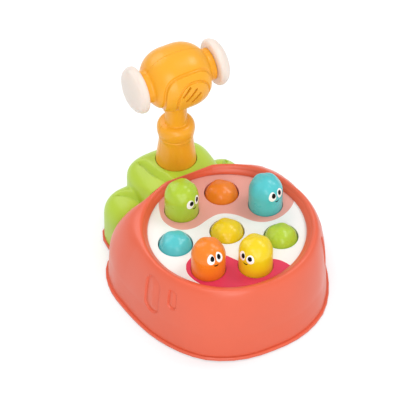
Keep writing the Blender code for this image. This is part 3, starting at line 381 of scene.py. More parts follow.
# shares of the way from the crest to the deck's window and of the rim's drop
rim_profile = (
    (0.08, 0.014), (0.16, 0.045), (0.24, 0.09), (0.32, 0.15), (0.39, 0.215), (0.45, 0.28),
    (0.49, 0.335), (0.515, 0.375), (0.535, 0.41), (0.55, 0.43), (0.565, 0.435), (0.59, 0.46),
    (0.63, 0.495), (0.69, 0.55), (0.76, 0.62), (0.83, 0.70), (0.89, 0.785), (0.94, 0.87),
    (0.975, 0.94), (1.0, 1.0))
outer_rings = shell_rings(shell_reach, crest_radius, crest_height, levels=18, turns=44)
for inward, drop in rim_profile:
    outer_rings.append((crest_radius + (WINDOW_RADIUS - crest_radius) * inward,
                        crest_height - RIM_DROP * drop))
outer_rings.append(level_ring(WINDOW_RADIUS, LIP_LEVEL))
print(len(outer_rings), "rings outside")

# %% [markdown]
# Capsule-shaped dents, like the wrinkles of a carrot, are pressed into the wall: two at the front
# left and four more whose edges show along the right. The skin near a dent is first divided finer.
# Its edge is steep and its floor swells back, so the outline reads as a crease.

# %% Press dents into the wall
DENT_DEPTH = 2.1 * MM
DENT_EDGE = 1.1 * MM
DENT_SWELL = 0.6
DENT_SURROUND = 2 * MM
OUTSIDE_REACH = 86 * MM


def dent_room(point, turn, height, half_width, half_height):
    """How far a point of the wall lies inside a capsule, in metres; negative outside."""
    flat = point.to_2d() - Vector((0, DECK_Y))
    if flat.length < OUTSIDE_REACH:
        return -1
    across = flat.length * math.remainder(math.atan2(flat.y, flat.x) - turn, math.tau)
    beyond = max(0, abs(point.z - height) - (half_height - half_width))
    return half_width - math.hypot(across, beyond)


def press_dent(shape, turn, height, half_width, half_height):
    capsule = (turn, height, half_width, half_height)
    near = [face for face in shape.faces
            if dent_room(face.calc_center_median(), *capsule) > -DENT_SURROUND]
    bmesh.ops.subdivide_edges(shape, edges=list({edge for face in near for edge in face.edges}),
                              cuts=2, use_grid_fill=True)
    shape.normal_update()
    pushed = []
    for vertex in shape.verts:
        room = dent_room(vertex.co, *capsule)
        if room > 0:
            swell = DENT_SWELL * (room / half_width) ** 0.8
            pushed.append((vertex, eased(room / DENT_EDGE) * (1 - swell)))
    for vertex, share in pushed:
        flat = Vector((vertex.co.x, vertex.co.y - DECK_Y, 0)).normalized()
        vertex.co -= flat * DENT_DEPTH * share
    print("dent at", round(math.degrees(turn)), "degrees:", len(pushed), "points")

# %% [markdown]
# The inside of the shell is a second skin, 2.4 mm in. It runs back down from the lip over the
# deck's edge to the foot, and a bridge between the first and the last ring closes the wall.

# %% Extrude the rings into the shell
WALL = 2.4 * MM
RIM_WALL = 3.4 * MM
INNER_SHOULDER = 3.2 * MM
LIP_WIDTH = 2.3 * MM


def ring_order(vertex):
    """Puts points in the order of shell_angles, from the nose to the right."""
    turn = math.atan2(vertex.co.y - DECK_Y, vertex.co.x) + math.pi / 2
    return (turn + 0.001) % math.tau


def set_ring(ring, radii, heights):
    for vertex, angle, radius, height in zip(ring, shell_angles, radii, heights):
        vertex.co = (radius * math.cos(angle), DECK_Y + radius * math.sin(angle), height)


def open_ring(shape, upper):
    """The points of the shell's upper or lower open edge, in order."""
    return sorted((vertex for vertex in shape.verts
                   if vertex.is_boundary and (vertex.co.z > SHOULDER_START) == upper),
                  key=ring_order)


# turn round the deck in degrees, then height, half width and half height in millimetres
shell_dents = ((-167, 52, 10.0, 22.5), (-151.7, 61.5, 5.2, 12), (-35, 60, 6, 18),
               (-21, 66, 4.5, 12), (25, 66, 4.5, 13), (38, 68, 3.5, 10))
shell = bmesh.new()
first = bmesh.ops.create_circle(shell, segments=SHELL_STEPS, radius=0.1,
                                matrix=Matrix.Translation((0, DECK_Y, 0)))["verts"]
ring = sorted(first, key=ring_order)
set_ring(ring, *outer_rings[0])
for radii, heights in outer_rings[1:]:
    ring = next_ring(shell, ring)
    set_ring(ring, radii, heights)
for turn, height, half_width, half_height in shell_dents:
    press_dent(shell, math.radians(turn), height * MM, half_width * MM, half_height * MM)

foot, ring = open_ring(shell, False), open_ring(shell, True)
inner_wall = shell_reach - WALL
inner_crest = np.minimum(crest_radius, inner_wall - INNER_SHOULDER)
inner_rings = shell_rings(inner_wall, inner_crest, crest_height - RIM_WALL, levels=2, turns=10)
lip_inside = level_ring(WINDOW_RADIUS + LIP_WIDTH, LIP_LEVEL)
for radii, heights in [lip_inside] + inner_rings[::-1]:
    ring = next_ring(shell, ring)
    set_ring(ring, radii, heights)
bmesh.ops.bridge_loops(shell, edges=loop_edges(shell, foot) + loop_edges(shell, ring))
finish_piece("carrot_shell", shell, [coral_plastic], "base", "body_shell", slot="coral_shell",
             crease=40)

# %% [markdown]
# ## The leaf
#
# The green cover at the back stands for the carrot's leaf: one tall puffy lobe that holds the
# hammer, and a lower lobe on each side. Puffy forms that melt into each other are easiest as
# separate lobes that overlap. They are remeshed together with small voxels and then relaxed, which
# rounds the valleys between them as a mould maker's fillet does.

# %% One lobe: rings drawn in towards a flat crown
LOBE_CURVE = 2 / 2.5


def squarish(value, power):
    """Turns a circle's coordinate, from -1 to 1, into that of a squarish oval."""
    return math.copysign(abs(value) ** (2 / power), value)


def add_lobe(shape, centre, half, power, wall_top, top, steps=160, turns=20):
    """Stacks squarish oval rings up the wall and over the dome."""
    levels = [(0, 1.0), (wall_top, 1.0)]
    for k in range(1, turns + 1):
        turn = math.pi / 2 * k / (turns + 0.6)
        levels.append((wall_top + (top - wall_top) * math.sin(turn) ** LOBE_CURVE,
                       math.cos(turn) ** LOBE_CURVE))

    def place(direction, height, scale):
        return (centre[0] + half[0] * scale * squarish(math.cos(direction), power),
                centre[1] + half[1] * scale * squarish(math.sin(direction), power), height)

    stack_rings(shape, steps, levels, place)


# %% Melt the three lobes together
def evaluated_shape(piece):
    """The piece with its modifiers applied, as a bmesh; the piece itself is removed."""
    graph = bpy.context.evaluated_depsgraph_get()
    mesh = bpy.data.meshes.new_from_object(piece.evaluated_get(graph))
    shape = bmesh.new()
    shape.from_mesh(mesh)
    bpy.data.meshes.remove(mesh)
    bpy.data.objects.remove(piece, do_unlink=True)
    return shape


def melted(name, shape, voxel):
    """Remeshes overlapping closed forms into one even skin."""
    lump = to_mesh(name, shape, [])
    remesh = lump.modifiers.new("melt", "REMESH")
    remesh.mode = "VOXEL"
    remesh.voxel_size = voxel
    return evaluated_shape(lump)


def relax(shape, rounds):
    for _ in range(rounds):
        bmesh.ops.smooth_vert(shape, verts=shape.verts, factor=0.5, use_axis_x=True,
                              use_axis_y=True, use_axis_z=True)


# centre from the deck's centre, half sizes, squareness, top of the wall and top of the lobe
leaf_lobes = (((-4.5, 93.5), (43.5, 42.5), 3.8, 57, 81.5),
              ((-47.5, 95.5), (31, 28), 2.7, 31, 60),
              ((38, 89), (27, 26), 2.7, 30, 61))
lobes = bmesh.new()
for place, half, power, wall_top, top in leaf_lobes:
    add_lobe(lobes, (place[0] * MM, DECK_Y + place[1] * MM), [value * MM for value in half],
             power, wall_top * MM, top * MM)
leaf = melted("leaf_draft", lobes, voxel=0.9 * MM)
relax(leaf, 6)
print("leaf skin:", len(leaf.faces), "faces")

# %% [markdown]
# Each lobe has one vein: a channel that runs towards the shell. One side of it is a crisp step and
# the other a gentle slope, so the light shows one dark line and a paler band. The front is then
# cut to follow the shell's leaning back, and the foot is cut flat where it stands on the base
# plate.

# %% Veins, leaning front and flat foot
UPPER_SIDE = 0.15


def from_line(point, line):
    """Distance to a polyline and on which side of it the point lies: above 0 is to its left."""
    nearest, side = 1.0, 0
    for a, b in zip(line, line[1:]):
        span = b - a
        share = max(0, min(1, (point - a).dot(span) / span.length_squared))
        gap = point - a - span * share
        if gap.length < nearest:
            nearest, side = gap.length, span.x * gap.y - span.y * gap.x
    return nearest, side


def press_vein(shape, line, depth, steep, gentle):
    """Lowers the skin beside a line of (x, y) points: steeply on its right, gently on its left."""
    line = [Vector((x * MM, DECK_Y + y * MM)) for x, y in line]
    shape.normal_update()
    pushed = []
    for vertex in shape.verts:
        if vertex.normal.z > UPPER_SIDE:
            gap, side = from_line(vertex.co.to_2d(), line)
            reach = (gentle if side > 0 else steep) * MM
            if gap < reach:
                pushed.append((vertex, faded(gap, reach)))
    for vertex, share in pushed:
        vertex.co.z -= depth * MM * share
    return len(pushed)


def whole(shape):
    return shape.verts[:] + shape.edges[:] + shape.faces[:]


def cut_flat(shape, point, direction):
    """Removes what lies beyond a plane, and closes the cut with one flat face."""
    cut = bmesh.ops.bisect_plane(shape, geom=whole(shape), dist=MERGE / 2, plane_co=point,
                                 plane_no=direction, clear_outer=True)
    edges = [item for item in cut["geom_cut"] if isinstance(item, bmesh.types.BMEdge)]
    bmesh.ops.edgeloop_fill(shape, edges=edges)


# each line is given by (x, y) from the deck's centre; then depth, steep side and gentle side
leaf_veins = ((((-33, 117), (-32, 110), (-30.8, 101), (-29, 93.5), (-26, 87), (-24, 80)),
               4.2, 1.1, 9.0),
              (((-61.5, 104.5), (-57.5, 100.5), (-54, 95.5), (-51, 90), (-49, 84)),
               3.8, 1.1, 9.0),
              (((52, 101), (48, 97), (44, 92), (42, 86)), 3.4, 1.1, 6.0))
for line, depth, steep, gentle in leaf_veins:
    print("vein:", press_vein(leaf, line, depth, steep, gentle), "points pushed down")
front_foot = (0, DECK_Y + 82.0 * MM, BASE_PLATE_TOP)
front_lean = Vector((0, -77, -3.1)).normalized()
cut_flat(leaf, (0, 0, BASE_PLATE_TOP), (0, 0, -1))
cut_flat(leaf, front_foot, front_lean)

# %% [markdown]
# The hammer stands in a round pocket. A turned plug of the pocket's shape is cut out of the leaf
# with a boolean, so the rim of the hole stays crisp, as it is on the toy.

# %% Cut the hammer's socket
def cut_with(target, tool, operation="DIFFERENCE"):
    """Boolean of two pieces; both are used up and the result comes back as a bmesh."""
    modifier = target.modifiers.new("cut", "BOOLEAN")
    modifier.operation = operation
    modifier.solver = "EXACT"
    modifier.object = tool
    result = evaluated_shape(target)
    bpy.data.objects.remove(tool, do_unlink=True)
    return result


hammer_foot = Vector((0, HAMMER_Y, 0))
pocket_profile = ((50.7, 0), (50.7, 16.6), (70.7, 16.6), (70.7, 20.3), (95, 20.3), (95, 0))
pocket = turned(bmesh.new(), in_mm(pocket_profile), hammer_foot, steps=128)
leaf = cut_with(to_mesh("leaf_draft", leaf, []), to_mesh("pocket", pocket, []))
finish_piece("leaf", leaf, [leaf_plastic], "base", "leaf_cover", slot="leaf_green", crease=50)

# %% [markdown]
# ## The deck and its print
#
# The deck is a flat white plate with eight round holes. Its print has three plain zones with wavy
# borders: pale pink behind, bare white across the middle, magenta in front. A print needs no
# geometry: the material turns the object coordinates with the picture, and three curves give the
# borders' height above each place from left to right.

# %% Borders of the print
PRINT_SPAN = 160 * MM


def print_border(nodes, points):
    """Float Curve through (across, along) points in millimetres, both scaled to 0 to 1."""
    node = nodes.new("ShaderNodeFloatCurve")
    curve = node.mapping.curves[0]
    share = [(x * MM / PRINT_SPAN + 0.5, y * MM / PRINT_SPAN + 0.5) for x, y in points]
    curve.points[0].location = (0, share[0][1])
    curve.points[1].location = (1, share[-1][1])
    for x, y in share:
        curve.points.new(x, min(1, max(0, y)))
    node.mapping.update()
    return node


pink_border = (
    (-66.6, 80), (-66, 60), (-65.4, 40), (-64, 24.5), (-61.5, 15.5), (-56.1, 8.3), (-49.4, 3.7),
    (-40.9, 2.0), (-33, 3.7), (-26.6, 7.6), (-21, 13), (-16.1, 17.5), (-11, 21.2), (-5.6, 23.2),
    (1.1, 23.4), (7, 22.2), (13.4, 19.6), (20, 16), (26.7, 13.2), (34.3, 12.2), (42, 13.8),
    (50.6, 18.6), (57, 25), (61.8, 32.6), (64, 39), (65.5, 60), (66, 80))
magenta_top = (
    (-39.4, -80), (-39.1, -50), (-38.4, -42), (-36, -37), (-32.7, -33.2), (-26, -28.8),
    (-17.5, -26.8), (-9, -28), (-0.1, -31.9), (9.3, -37.6), (18, -41.5), (26, -41.8), (34, -38.8),
    (42.8, -36.1), (48, -36.8), (53.6, -39.6), (58.7, -43.6), (66, -52))
magenta_foot = (
    (-39.4, -44), (-38.9, -48.5), (-38.2, -52), (-36.6, -56), (-32.2, -62), (-24.7, -68.6),
    (-18, -72.6), (-12, -80))
print("print borders:", len(pink_border), len(magenta_top), len(magenta_foot), "points")

# %% Deck material: three printed zones on white plastic
def math_node(tree, operation, *values):
    """A Math node whose inputs are sockets or numbers; its output comes back."""
    node = tree.nodes.new("ShaderNodeMath")
    node.operation = operation
    for socket, value in zip(node.inputs, values):
        if isinstance(value, bpy.types.NodeSocket):
            tree.links.new(value, socket)
        else:
            socket.default_value = value
    return node.outputs["Value"]


def printed_deck():
    material = moulded_plastic("printed_deck", (0.88, 0.88, 0.855), 0.34, 0.015)
    tree = material.node_tree
    nodes, links = tree.nodes, tree.links
    base_colour = shader_of(material).inputs["Base Color"]
    paint = base_colour.links[0].from_socket
    place = nodes.new("ShaderNodeTexCoord")
    turn = nodes.new("ShaderNodeMapping")
    turn.vector_type = "TEXTURE"
    adjust(turn, {"Location": (0, DECK_Y, 0), "Rotation": (0, 0, PICTURE_TURN)})
    links.new(place.outputs["Object"], turn.inputs["Vector"])
    split = nodes.new("ShaderNodeSeparateXYZ")
    links.new(turn.outputs["Vector"], split.inputs["Vector"])
    across, along = (math_node(tree, "MULTIPLY_ADD", split.outputs[axis], 1 / PRINT_SPAN, 0.5)
                     for axis in ("X", "Y"))

    def beyond(points, above):
        border = print_border(nodes, points)
        links.new(across, border.inputs["Value"])
        test = "GREATER_THAN" if above else "LESS_THAN"
        return math_node(tree, test, along, border.outputs["Value"])

    magenta = math_node(tree, "MULTIPLY", beyond(magenta_top, False), beyond(magenta_foot, True))
    for factor, colour in ((beyond(pink_border, True), (0.770, 0.355, 0.300, 1)),
                           (magenta, (0.740, 0.042, 0.110, 1))):
        layer = nodes.new("ShaderNodeMix")
        layer.data_type = "RGBA"
        links.new(factor, layer.inputs["Factor"])
        links.new(paint, layer.inputs["A"])
        adjust(layer, {"B": colour})
        paint = layer.outputs["Result"]
    links.new(paint, base_colour)
    return material


deck_print = printed_deck()
print("deck material has", len(deck_print.node_tree.nodes), "nodes")

# %% [markdown]
# The plate itself: a disc outline and eight circles are filled with triangles in one go, which
# leaves the holes open, and the flat region is extruded down. Each hole has a collar below that
# guides its mole.

# %% Deck plate with eight holes and their collars
DECK_RADIUS = 77.6 * MM
DECK_THICKNESS = 3 * MM
HOLE_RADIUS = 16.8
COLLAR_RADIUS = 18.4
COLLAR_TOP, COLLAR_FOOT = 71.99, 64

# (x, y) from the deck's centre, the mole's colour, and whether it stands up at rest
moles = {"mole_front": ((3.41, -51.39), "yellow", True),
         "mole_front_right": ((42.31, -29.37), "green", False),
         "mole_right": ((49.34, 14.77), "blue", True),
         "mole_back_right": ((19.22, 47.78), "orange", False),
         "mole_back_left": ((-25.37, 44.82), "green", True),
         "mole_left": ((-50.86, 8.10), "blue", False),
         "mole_front_left": ((-38.05, -34.71), "orange", True),
         "mole_middle": ((0, 0), "yellow", False)}
mole_centres = {name: Vector((x * MM, DECK_Y + y * MM, 0))
                for name, ((x, y), _, _) in moles.items()}
plate = bmesh.new()
bmesh.ops.create_circle(plate, segments=256, radius=DECK_RADIUS,
                        matrix=Matrix.Translation((0, DECK_Y, DECK_TOP)))
for centre in mole_centres.values():
    bmesh.ops.create_circle(plate, segments=96, radius=HOLE_RADIUS * MM,
                            matrix=Matrix.Translation((centre.x, centre.y, DECK_TOP)))
bmesh.ops.triangle_fill(plate, use_beauty=True, use_dissolve=False, edges=plate.edges[:],
                        normal=(0, 0, 1))
lower = bmesh.ops.extrude_face_region(plate, geom=plate.faces[:])["geom"]
bmesh.ops.translate(plate, verts=points_in(lower), vec=(0, 0, -DECK_THICKNESS))
collar_profile = ((COLLAR_TOP, HOLE_RADIUS), (COLLAR_TOP, COLLAR_RADIUS),
                  (COLLAR_FOOT, COLLAR_RADIUS), (COLLAR_FOOT, HOLE_RADIUS),
                  (COLLAR_TOP, HOLE_RADIUS))
for centre in mole_centres.values():
    turned(plate, in_mm(collar_profile), centre)
finish_piece("deck", plate, [deck_print], "base", "deck_plate", slot="deck_white", crease=30)

# %% [markdown]
# ## The moles
#
# Each mole is a thin cup with a lumpy dome, a stop ring at its foot and a stem that rests on its
# see-saw. The profile is spun, and the dome's skin is then drawn in everywhere but round six
# knobs: one on the crown and five in a ring below it. The knobs of each mole are turned by another
# angle, so no two look the same.

# %% The mole's dome and its knobs
MOLE_RADIUS = 16.3 * MM
MOLE_TRAVEL = 25 * MM
DOME_START = 94.7 * MM
DOME_POWER = 2.2
DOME_POINTS = 36
KNOB_SIZE = 6.4 * MM
KNOB_DEPTH = 1.2 * MM
KNOB_FADE = 0.72
OUTER_SKIN = 0.97 * MOLE_RADIUS
# (height, radius) of the stop ring, the hollow inside and the stem, in millimetres
cup_profile = ((63.7, 18.3), (61.7, 18.3), (61.7, 14.6), (94.7, 14.6), (104.5, 10.5),
               (108.2, 5), (43.1, 5), (43.1, 0))


def knob_directions(turn):
    """One knob on the crown and five round it, each a little off its even place."""
    ring = [(math.radians(41 + 5 * math.sin(2.3 * k)),
             turn + math.tau * k / 5 + 0.16 * math.sin(1.7 * k)) for k in range(5)]
    return [Vector((0, 0, 1))] + [Vector((math.cos(up) * math.cos(a), math.cos(up) * math.sin(a),
                                          math.sin(up))) for up, a in ring]


def skin_share(direction, knobs):
    """How much of the dome's radius is left in a direction, given as a unit vector."""
    nearest = min(math.acos(max(-1, min(1, direction.dot(knob)))) for knob in knobs) * MOLE_RADIUS
    hollow = 1 - math.exp(-(nearest / KNOB_SIZE) ** 2)
    return 1 - hollow * eased(direction.z / KNOB_FADE) * KNOB_DEPTH / MOLE_RADIUS


def skin_radius(height, angle, knobs):
    """The finished mole's radius at a world height (raised) and an angle."""
    if height <= DOME_START:
        return MOLE_RADIUS
    share = min(0.98, (height - DOME_START) / MOLE_RADIUS)
    flat = (1 - share ** DOME_POWER) ** (1 / DOME_POWER)
    direction = Vector((flat * math.cos(angle), flat * math.sin(angle), share)).normalized()
    return MOLE_RADIUS * flat * skin_share(direction, knobs)


def mole_shape(centre, lift, knobs):
    turns = [math.radians(90 * (1 - k / DOME_POINTS)) for k in range(DOME_POINTS)]
    profile = [(DOME_START + MOLE_RADIUS * math.sin(a) ** (2 / DOME_POWER),
                MOLE_RADIUS * math.cos(a) ** (2 / DOME_POWER)) for a in turns]
    profile[0] = (profile[0][0], 0)
    profile += [(DOME_START, MOLE_RADIUS)]
    profile += [(z * MM, MOLE_RADIUS) for z in (90, 85, 80, 75, 70, 63.75)]
    profile += in_mm(cup_profile)
    shape = turned(bmesh.new(), profile, Vector((0, 0, 0)), steps=120)
    middle = Vector((0, 0, DOME_START))
    for vertex in shape.verts:
        arm = vertex.co - middle
        if arm.z > 0 and arm.length > OUTER_SKIN:
            vertex.co = middle + arm * skin_share(arm.normalized(), knobs)
    bmesh.ops.translate(shape, verts=shape.verts, vec=centre + Vector((0, 0, lift)))
    return shape


mole_knobs = {name: knob_directions(0.9 * number) for number, name in enumerate(moles)}
for name, (_, colour, raised) in moles.items():
    lift = 0 if raised else -MOLE_TRAVEL
    finish_piece(name + "_cup", mole_shape(mole_centres[name], lift, mole_knobs[name]),
                 [mole_plastics[colour]], name, name, slot="mole_" + colour, crease=40)

# %% [markdown]
# ## The printed faces
#
# Each raised mole has a plain printed face: two white ovals with black pupils and a small curved
# mouth. A print follows its surface, so each mark is built ring by ring, from its edge to its
# middle, with every point set on the mole's own skin and up to a tenth of a millimetre proud of
# it.

# %% Bend a flat mark onto the mole
def add_mark(shape, mole, facing, at, half, proud, finish_index, bend=0.0):
    """An oval of half sizes (across, up), at (across, height) on a mole, all in millimetres."""
    def place(direction, scale, height):
        u = scale * math.cos(direction)
        across = at[0] + half[0] * u
        up = (at[1] + half[1] * scale * math.sin(direction) + bend * u * u) * MM
        angle = facing + across * MM / MOLE_RADIUS
        radius = skin_radius(up, angle, mole_knobs[mole]) + height * MM
        return mole_centres[mole] + Vector((radius * math.cos(angle), radius * math.sin(angle), up))

    before = set(shape.faces)
    # scale and height of each ring; the first one, at the edge, is sunk into the mole
    levels = [(1, -0.3)] + [(scale, proud) for scale in (1, 0.8, 0.55, 0.3, 0.08)]
    stack_rings(shape, 36, levels, place)
    for face in set(shape.faces) - before:
        face.material_index = finish_index


# %% Print a face on each raised mole
EYE, PUPIL, MOUTH = (4.1, 4.9), (2.25, 2.6), (2.5, 0.75)
EYE_SIDE, PUPIL_SIDE, MOUTH_DROP = 4.9, 4.0, 7.2
GLANCE = (0.5, 0.9)
WHITE, BLACK = 0, 1
# which way each mole faces in degrees, and the height of its eyes in millimetres
face_places = {"mole_front_left": (-90.5, 101.6), "mole_back_left": (-68, 95.8),
               "mole_front": (-155, 97.6), "mole_right": (-76, 98.8)}
for name, (facing, height) in face_places.items():
    marks = bmesh.new()
    turn = math.radians(facing)
    for side in (-1, 1):
        pupil_at = (side * PUPIL_SIDE + GLANCE[0], height + GLANCE[1])
        add_mark(marks, name, turn, (side * EYE_SIDE, height), EYE, 0.05, WHITE)
        add_mark(marks, name, turn, pupil_at, PUPIL, 0.10, BLACK)
    add_mark(marks, name, turn, (0, height - MOUTH_DROP), MOUTH, 0.06, BLACK, bend=1.0)
    finish_piece(name + "_print", marks, [white_ink, black_ink], name, crease=60)

# %% [markdown]
# ## The hammer
#
# The hammer is one hollow orange moulding in two halves: a waisted handle, a bulge that stops the
# hand, a thin neck and a barrel-shaped head with a short neck on each side for the pads. All forms
# are turned or cut separately, melted into one skin, and then split where the real halves meet.

# %% Turn the handle and the head
HEAD_HALF_LENGTH = 29.8
HEAD_RADIUS = 30.8
head_centre = Vector((0, HAMMER_Y, HEAD_LEVEL))
handle_profile = (
    (51, 0), (51, 15.2), (51.8, 16), (71, 16), (71, 19.2), (71.5, 19.7), (81, 19.7), (85, 19.2),
    (90, 18.6), (95, 17.95), (100, 17.3), (104, 16.8), (107, 16.55), (109, 16.5), (111, 16.65),
    (113, 17), (116, 17.6), (119, 18.15), (122, 18.4), (124, 18.3), (126, 17.9), (127.8, 17.1),
    (129.3, 15.9), (130.3, 14.4), (130.9, 12.8), (131.1, 10.8), (136, 10.7), (149, 10.6),
    (155, 10.8), (161, 11.5), (175, 11.5), (175, 0))
head_shares = (
    (0, 1), (0.12, 0.999), (0.25, 0.995), (0.38, 0.982), (0.48, 0.958), (0.58, 0.925),
    (0.67, 0.882), (0.75, 0.835), (0.82, 0.782), (0.88, 0.728), (0.93, 0.672), (0.97, 0.62))


def head_profile(grow):
    """The head from pad to pad, made larger all round by some millimetres."""
    length, radius = HEAD_HALF_LENGTH + grow, HEAD_RADIUS + grow
    half = [(a * length, r * radius) for a, r in head_shares]
    half += [(length, 17.2), (length + 0.8, 16.4), (length + 2.2, 16), (36.8, 16), (36.8, 0)]
    return in_mm([(-a, r) for a, r in reversed(half[1:])] + half)


hammer_mix = turned(bmesh.new(), in_mm(handle_profile), hammer_foot)
turned(hammer_mix, head_profile(0), head_centre, "X")
print("hammer parts:", len(hammer_mix.faces), "faces")

# %% [markdown]
# The raised panel is the same head made slightly larger, and kept only inside an oval seen from
# the front. A second, smaller oval stands a little higher and draws the arc round the sound slots.

# %% Raised oval panels on the front of the head
PRISM_FRONT = HAMMER_Y - 45 * MM
PRISM_LENGTH = 37.3 * MM


def panel(name, grow, middle, half, power):
    """The part of a grown head that lies inside an oval in the X and Z directions."""
    grown = to_mesh(name + "_head", turned(bmesh.new(), head_profile(grow), head_centre, "X"), [])
    prism = bmesh.new()
    ring = bmesh.ops.create_circle(prism, cap_ends=True, segments=128, radius=1)["verts"]
    for vertex in ring:
        vertex.co = (middle[0] + half[0] * squarish(vertex.co.x, power), PRISM_FRONT,
                     HEAD_LEVEL + middle[1] + half[1] * squarish(vertex.co.y, power))
    deep = bmesh.ops.extrude_face_region(prism, geom=prism.faces[:])["geom"]
    bmesh.ops.translate(prism, verts=points_in(deep), vec=(0, PRISM_LENGTH, 0))
    return cut_with(grown, to_mesh(name + "_prism", prism, []), "INTERSECT")


# name, growth, middle of the oval from the head's centre, half sizes, squareness
panels = (("panel", 1.3, (1.5, -6.3), (25, 27.2), 3.1),
          ("inner_panel", 1.9, (4.5, -8), (17, 21.5), 2.3))
for name, grow, middle, half, power in panels:
    raised = panel(name, grow, *in_mm((middle, half)), power)
    part = bpy.data.meshes.new(name)
    raised.to_mesh(part)
    raised.free()
    hammer_mix.from_mesh(part)
    bpy.data.meshes.remove(part)
hammer = melted("hammer_draft", hammer_mix, voxel=0.5 * MM)
relax(hammer, 3)
print("hammer skin:", len(hammer.faces), "faces")

# %% [markdown]
# Melting rounds every edge alike, so the fine lines are pressed in afterwards: a groove that
# follows the edge of each panel, and a ring round the handle below the bulge.

# %% Press the fine lines into the hammer's skin
RING_LEVEL = 115.2 * MM
RING_LINE = (1.2 * MM, 0.9 * MM)
PANEL_LINE = (1.3 * MM, 1.4 * MM)
PANEL_MARGIN = 0.5
HANDLE_END = HEAD_LEVEL - 50 * MM
FRONT_SIDE = HAMMER_Y - 8.5 * MM


def oval_gap(x, z, middle, half, power):
    """Distance from a point of the front view to an oval's line, about in metres."""
    across, up = x - middle[0] * MM, z - HEAD_LEVEL - middle[1] * MM
    wide, high = abs(across / (half[0] * MM)), abs(up / (half[1] * MM))
    size = (wide ** power + high ** power) ** (1 / power)
    return math.hypot(across, up) * abs(1 - 1 / max(size, 0.1))


hammer.normal_update()
pressed = []
for vertex in hammer.verts:
    x, y, z = vertex.co
    if z < HANDLE_END:
        gap, (width, depth) = abs(z - RING_LEVEL), RING_LINE
    elif y < FRONT_SIDE:
        gap = min(oval_gap(x, z, middle, [value + PANEL_MARGIN for value in half], power)
                  for _, _, middle, half, power in panels)
        width, depth = PANEL_LINE
    else:
        continue
    if gap < width:
        pressed.append((vertex, depth * faded(gap, width)))
for vertex, push in pressed:
    vertex.co -= vertex.normal * push
print("fine lines:", len(pressed), "points pressed in")

# %% [markdown]
# The sound slots are three slanting cuts with round ends, and the halves meet in a hairline groove
# round the whole hammer. For the groove, two planes beside the middle add rows of points, and the
# middle row is drawn in before the halves are parted.

# %% Sound slots
SLOT_RADIUS = 1.1 * MM
SLOT_PITCH = 7 * MM
SLOT_X, SLOT_LEVEL = 0.9 * MM, HEAD_LEVEL + 1.5 * MM
SLOT_FRONT, SLOT_DEEP = HAMMER_Y - 40 * MM, 12 * MM
SLANT = math.sqrt(0.5)


def slot_tool():
    """Three slanting bars: u runs along a bar and v across it."""
    tool = bmesh.new()
    for number, length in zip((-1, 0, 1), (13.0, 17.5, 14.0)):
        ring = bmesh.ops.create_circle(tool, cap_ends=True, segments=24,
                                       radius=SLOT_RADIUS)["verts"]
        for vertex in ring:
            stretch = math.copysign(length / 2 * MM - SLOT_RADIUS, vertex.co.x)
            u, v = vertex.co.x + stretch + number * SLOT_PITCH, vertex.co.y
            vertex.co = (SLOT_X + (u - v) * SLANT, SLOT_FRONT,
                         SLOT_LEVEL + (u - 2 * number * SLOT_PITCH + v) * SLANT)
        face = next(iter(set.intersection(*[set(vertex.link_faces) for vertex in ring])))
        deep = bmesh.ops.extrude_face_region(tool, geom=[face])["geom"]
        bmesh.ops.translate(tool, verts=points_in(deep), vec=(0, SLOT_DEEP, 0))
    return tool


hammer = cut_with(to_mesh("hammer_draft", hammer, []), to_mesh("slots", slot_tool(), []))
print("hammer with slots:", len(hammer.faces), "faces")

# %% Groove and parting of the two halves
SEAM_HALF_WIDTH = 0.35 * MM
SEAM_DEPTH = 0.3 * MM


def score(shape, y):
    """Adds a row of points round the shape where it crosses an upright plane."""
    return bmesh.ops.bisect_plane(shape, geom=whole(shape), dist=MERGE / 2, plane_no=(0, 1, 0),
                                  plane_co=(0, y, 0))["geom_cut"]


score(hammer, HAMMER_Y - SEAM_HALF_WIDTH)
score(hammer, HAMMER_Y + SEAM_HALF_WIDTH)
seam = score(hammer, HAMMER_Y)
hammer.normal_update()
for vertex in points_in(seam):
    vertex.co -= Vector((vertex.normal.x, 0, vertex.normal.z)) * SEAM_DEPTH
skin = bpy.data.meshes.new("hammer_skin")
hammer.to_mesh(skin)
hammer.free()
for name, node, side in (("hammer_front", "hammer_front_shell", 1),
                         ("hammer_back", "hammer_back_shell", -1)):
    part = bmesh.new()
    part.from_mesh(skin)
    cut_flat(part, (0, HAMMER_Y, 0), (0, side, 0))
    finish_piece(name, part, [hammer_plastic], "hammer", node, slot="hammer_orange", crease=50)
bpy.data.meshes.remove(skin)

# %% [markdown]
# ## The pads
#
# Each pad is a thick soft disc like a mushroom's cap, with a plug that is pressed into the neck.
# The profile is spun round the hammer head's axis, and the second pad mirrors the first.

# %% Turn the two pads
pad_profile = (
    (30, 0), (30, 13.5), (37.1, 13.5), (37.1, 19.4), (37.3, 20.6), (37.8, 21.8), (38.7, 22.7),
    (39.9, 23.2), (41.3, 23.3), (42.6, 23.2), (43.5, 22.9), (43.9, 22.5), (44.2, 22.35),
    (45.4, 21.9), (46.8, 20.9), (48.0, 19.3), (49.2, 17.1), (50.2, 14.4), (50.9, 11.2),
    (51.4, 7.5), (51.65, 3.8), (51.7, 0))
for name, side in (("hammer_pad_left", -1), ("hammer_pad_right", 1)):
    pad = turned(bmesh.new(), in_mm((side * a, r) for a, r in pad_profile), head_centre, "X")
    finish_piece(name + "_soft", pad, [milky_pad], "hammer", name, slot="pad_cream", crease=50)

# %% [markdown]
# ## The pieces kept from the CAD model
#
# The base plate, the feet, the see-saws, their brackets and pins, the screws and the squeaker have
# the right shape already. Each gets its finish in place of the CAD model's plain colour.

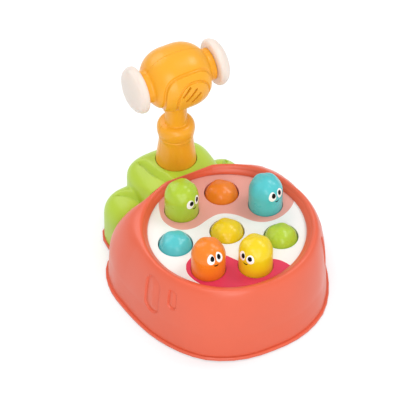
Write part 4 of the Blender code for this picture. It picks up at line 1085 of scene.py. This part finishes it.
# %% Give the kept pieces their finishes
kept_finishes = (("base_plate", coral_plastic), ("foot", foot_rubber), ("rocker", grey_plastic),
                 ("bracket_screw", zinc_steel), ("bracket", grey_plastic), ("pin", zinc_steel),
                 ("hammer_squeaker", squeaker_plastic))


def kept_finish(name):
    for start, finish in kept_finishes:
        if name.startswith(start):
            return finish
    return zinc_steel if "screw" in name else coral_plastic


for name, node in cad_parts.items():
    finish = kept_finish(name)
    for slot in node.material_slots:
        slot.material = finish
print("finishes given to", len(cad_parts), "CAD nodes")

# %% [markdown]
# ## Floor and light
#
# The toy stands on a white sweep. Four large soft lamps and a pale world light it from the front,
# from the back and from above, so shadows are faint and wide. The floor adds a little white of its
# own for the camera and for reflections alone: that lifts it to white without more light on the
# toy, and keeps the shadow.

# %% White floor
FLOOR_GLOW = 0.33


def white_floor():
    material = bpy.data.materials.new("white_floor")
    material.use_nodes = True
    tree, shader = material.node_tree, shader_of(material)
    adjust(shader, {"Base Color": (0.68, 0.72, 0.735, 1), "Roughness": 0.9,
                    "Emission Color": (1, 1, 1, 1)})
    path = tree.nodes.new("ShaderNodeLightPath")
    seen = math_node(tree, "MAXIMUM", path.outputs["Is Camera Ray"],
                     path.outputs["Is Glossy Ray"])
    strength = math_node(tree, "MULTIPLY", seen, FLOOR_GLOW)
    tree.links.new(strength, shader.inputs["Emission Strength"])
    return material


floor_shape = bmesh.new()
bmesh.ops.create_grid(floor_shape, x_segments=2, y_segments=2, size=6)
floor = to_mesh("floor", floor_shape, [white_floor()])
print("floor laid:", len(floor.data.polygons), "faces")

# %% Soft lamps and pale world
LAMP_AIM = Vector((0, 0, 80 * MM))
soft_lamps = (("key_lamp", (0.85, -0.1, 1.3), 0.6, 5.5),
              ("front_lamp", (-0.6, -0.95, 1.2), 0.8, 6),
              ("low_front_lamp", (-0.5, -1.5, 0.5), 0.9, 7),
              ("back_lamp", (-0.4, 1.15, 1.1), 1.2, 8))
for name, place, size, power in soft_lamps:
    data = bpy.data.lights.new(name, "AREA")
    data.shape = "DISK"
    data.size = size
    data.energy = power
    lamp = bpy.data.objects.new(name, data)
    lamp.location = place
    lamp.rotation_euler = (Vector(place) - LAMP_AIM).to_track_quat("Z", "Y").to_euler()
    bpy.context.scene.collection.objects.link(lamp)

world = bpy.data.worlds.new("pale_world")
world.use_nodes = True
adjust(world.node_tree.nodes["Background"], {"Color": (1, 1, 1, 1), "Strength": 0.66})
bpy.context.scene.world = world
bpy.context.scene.view_settings.view_transform = "Standard"
print("lamps:", [light.name for light in bpy.data.lights])
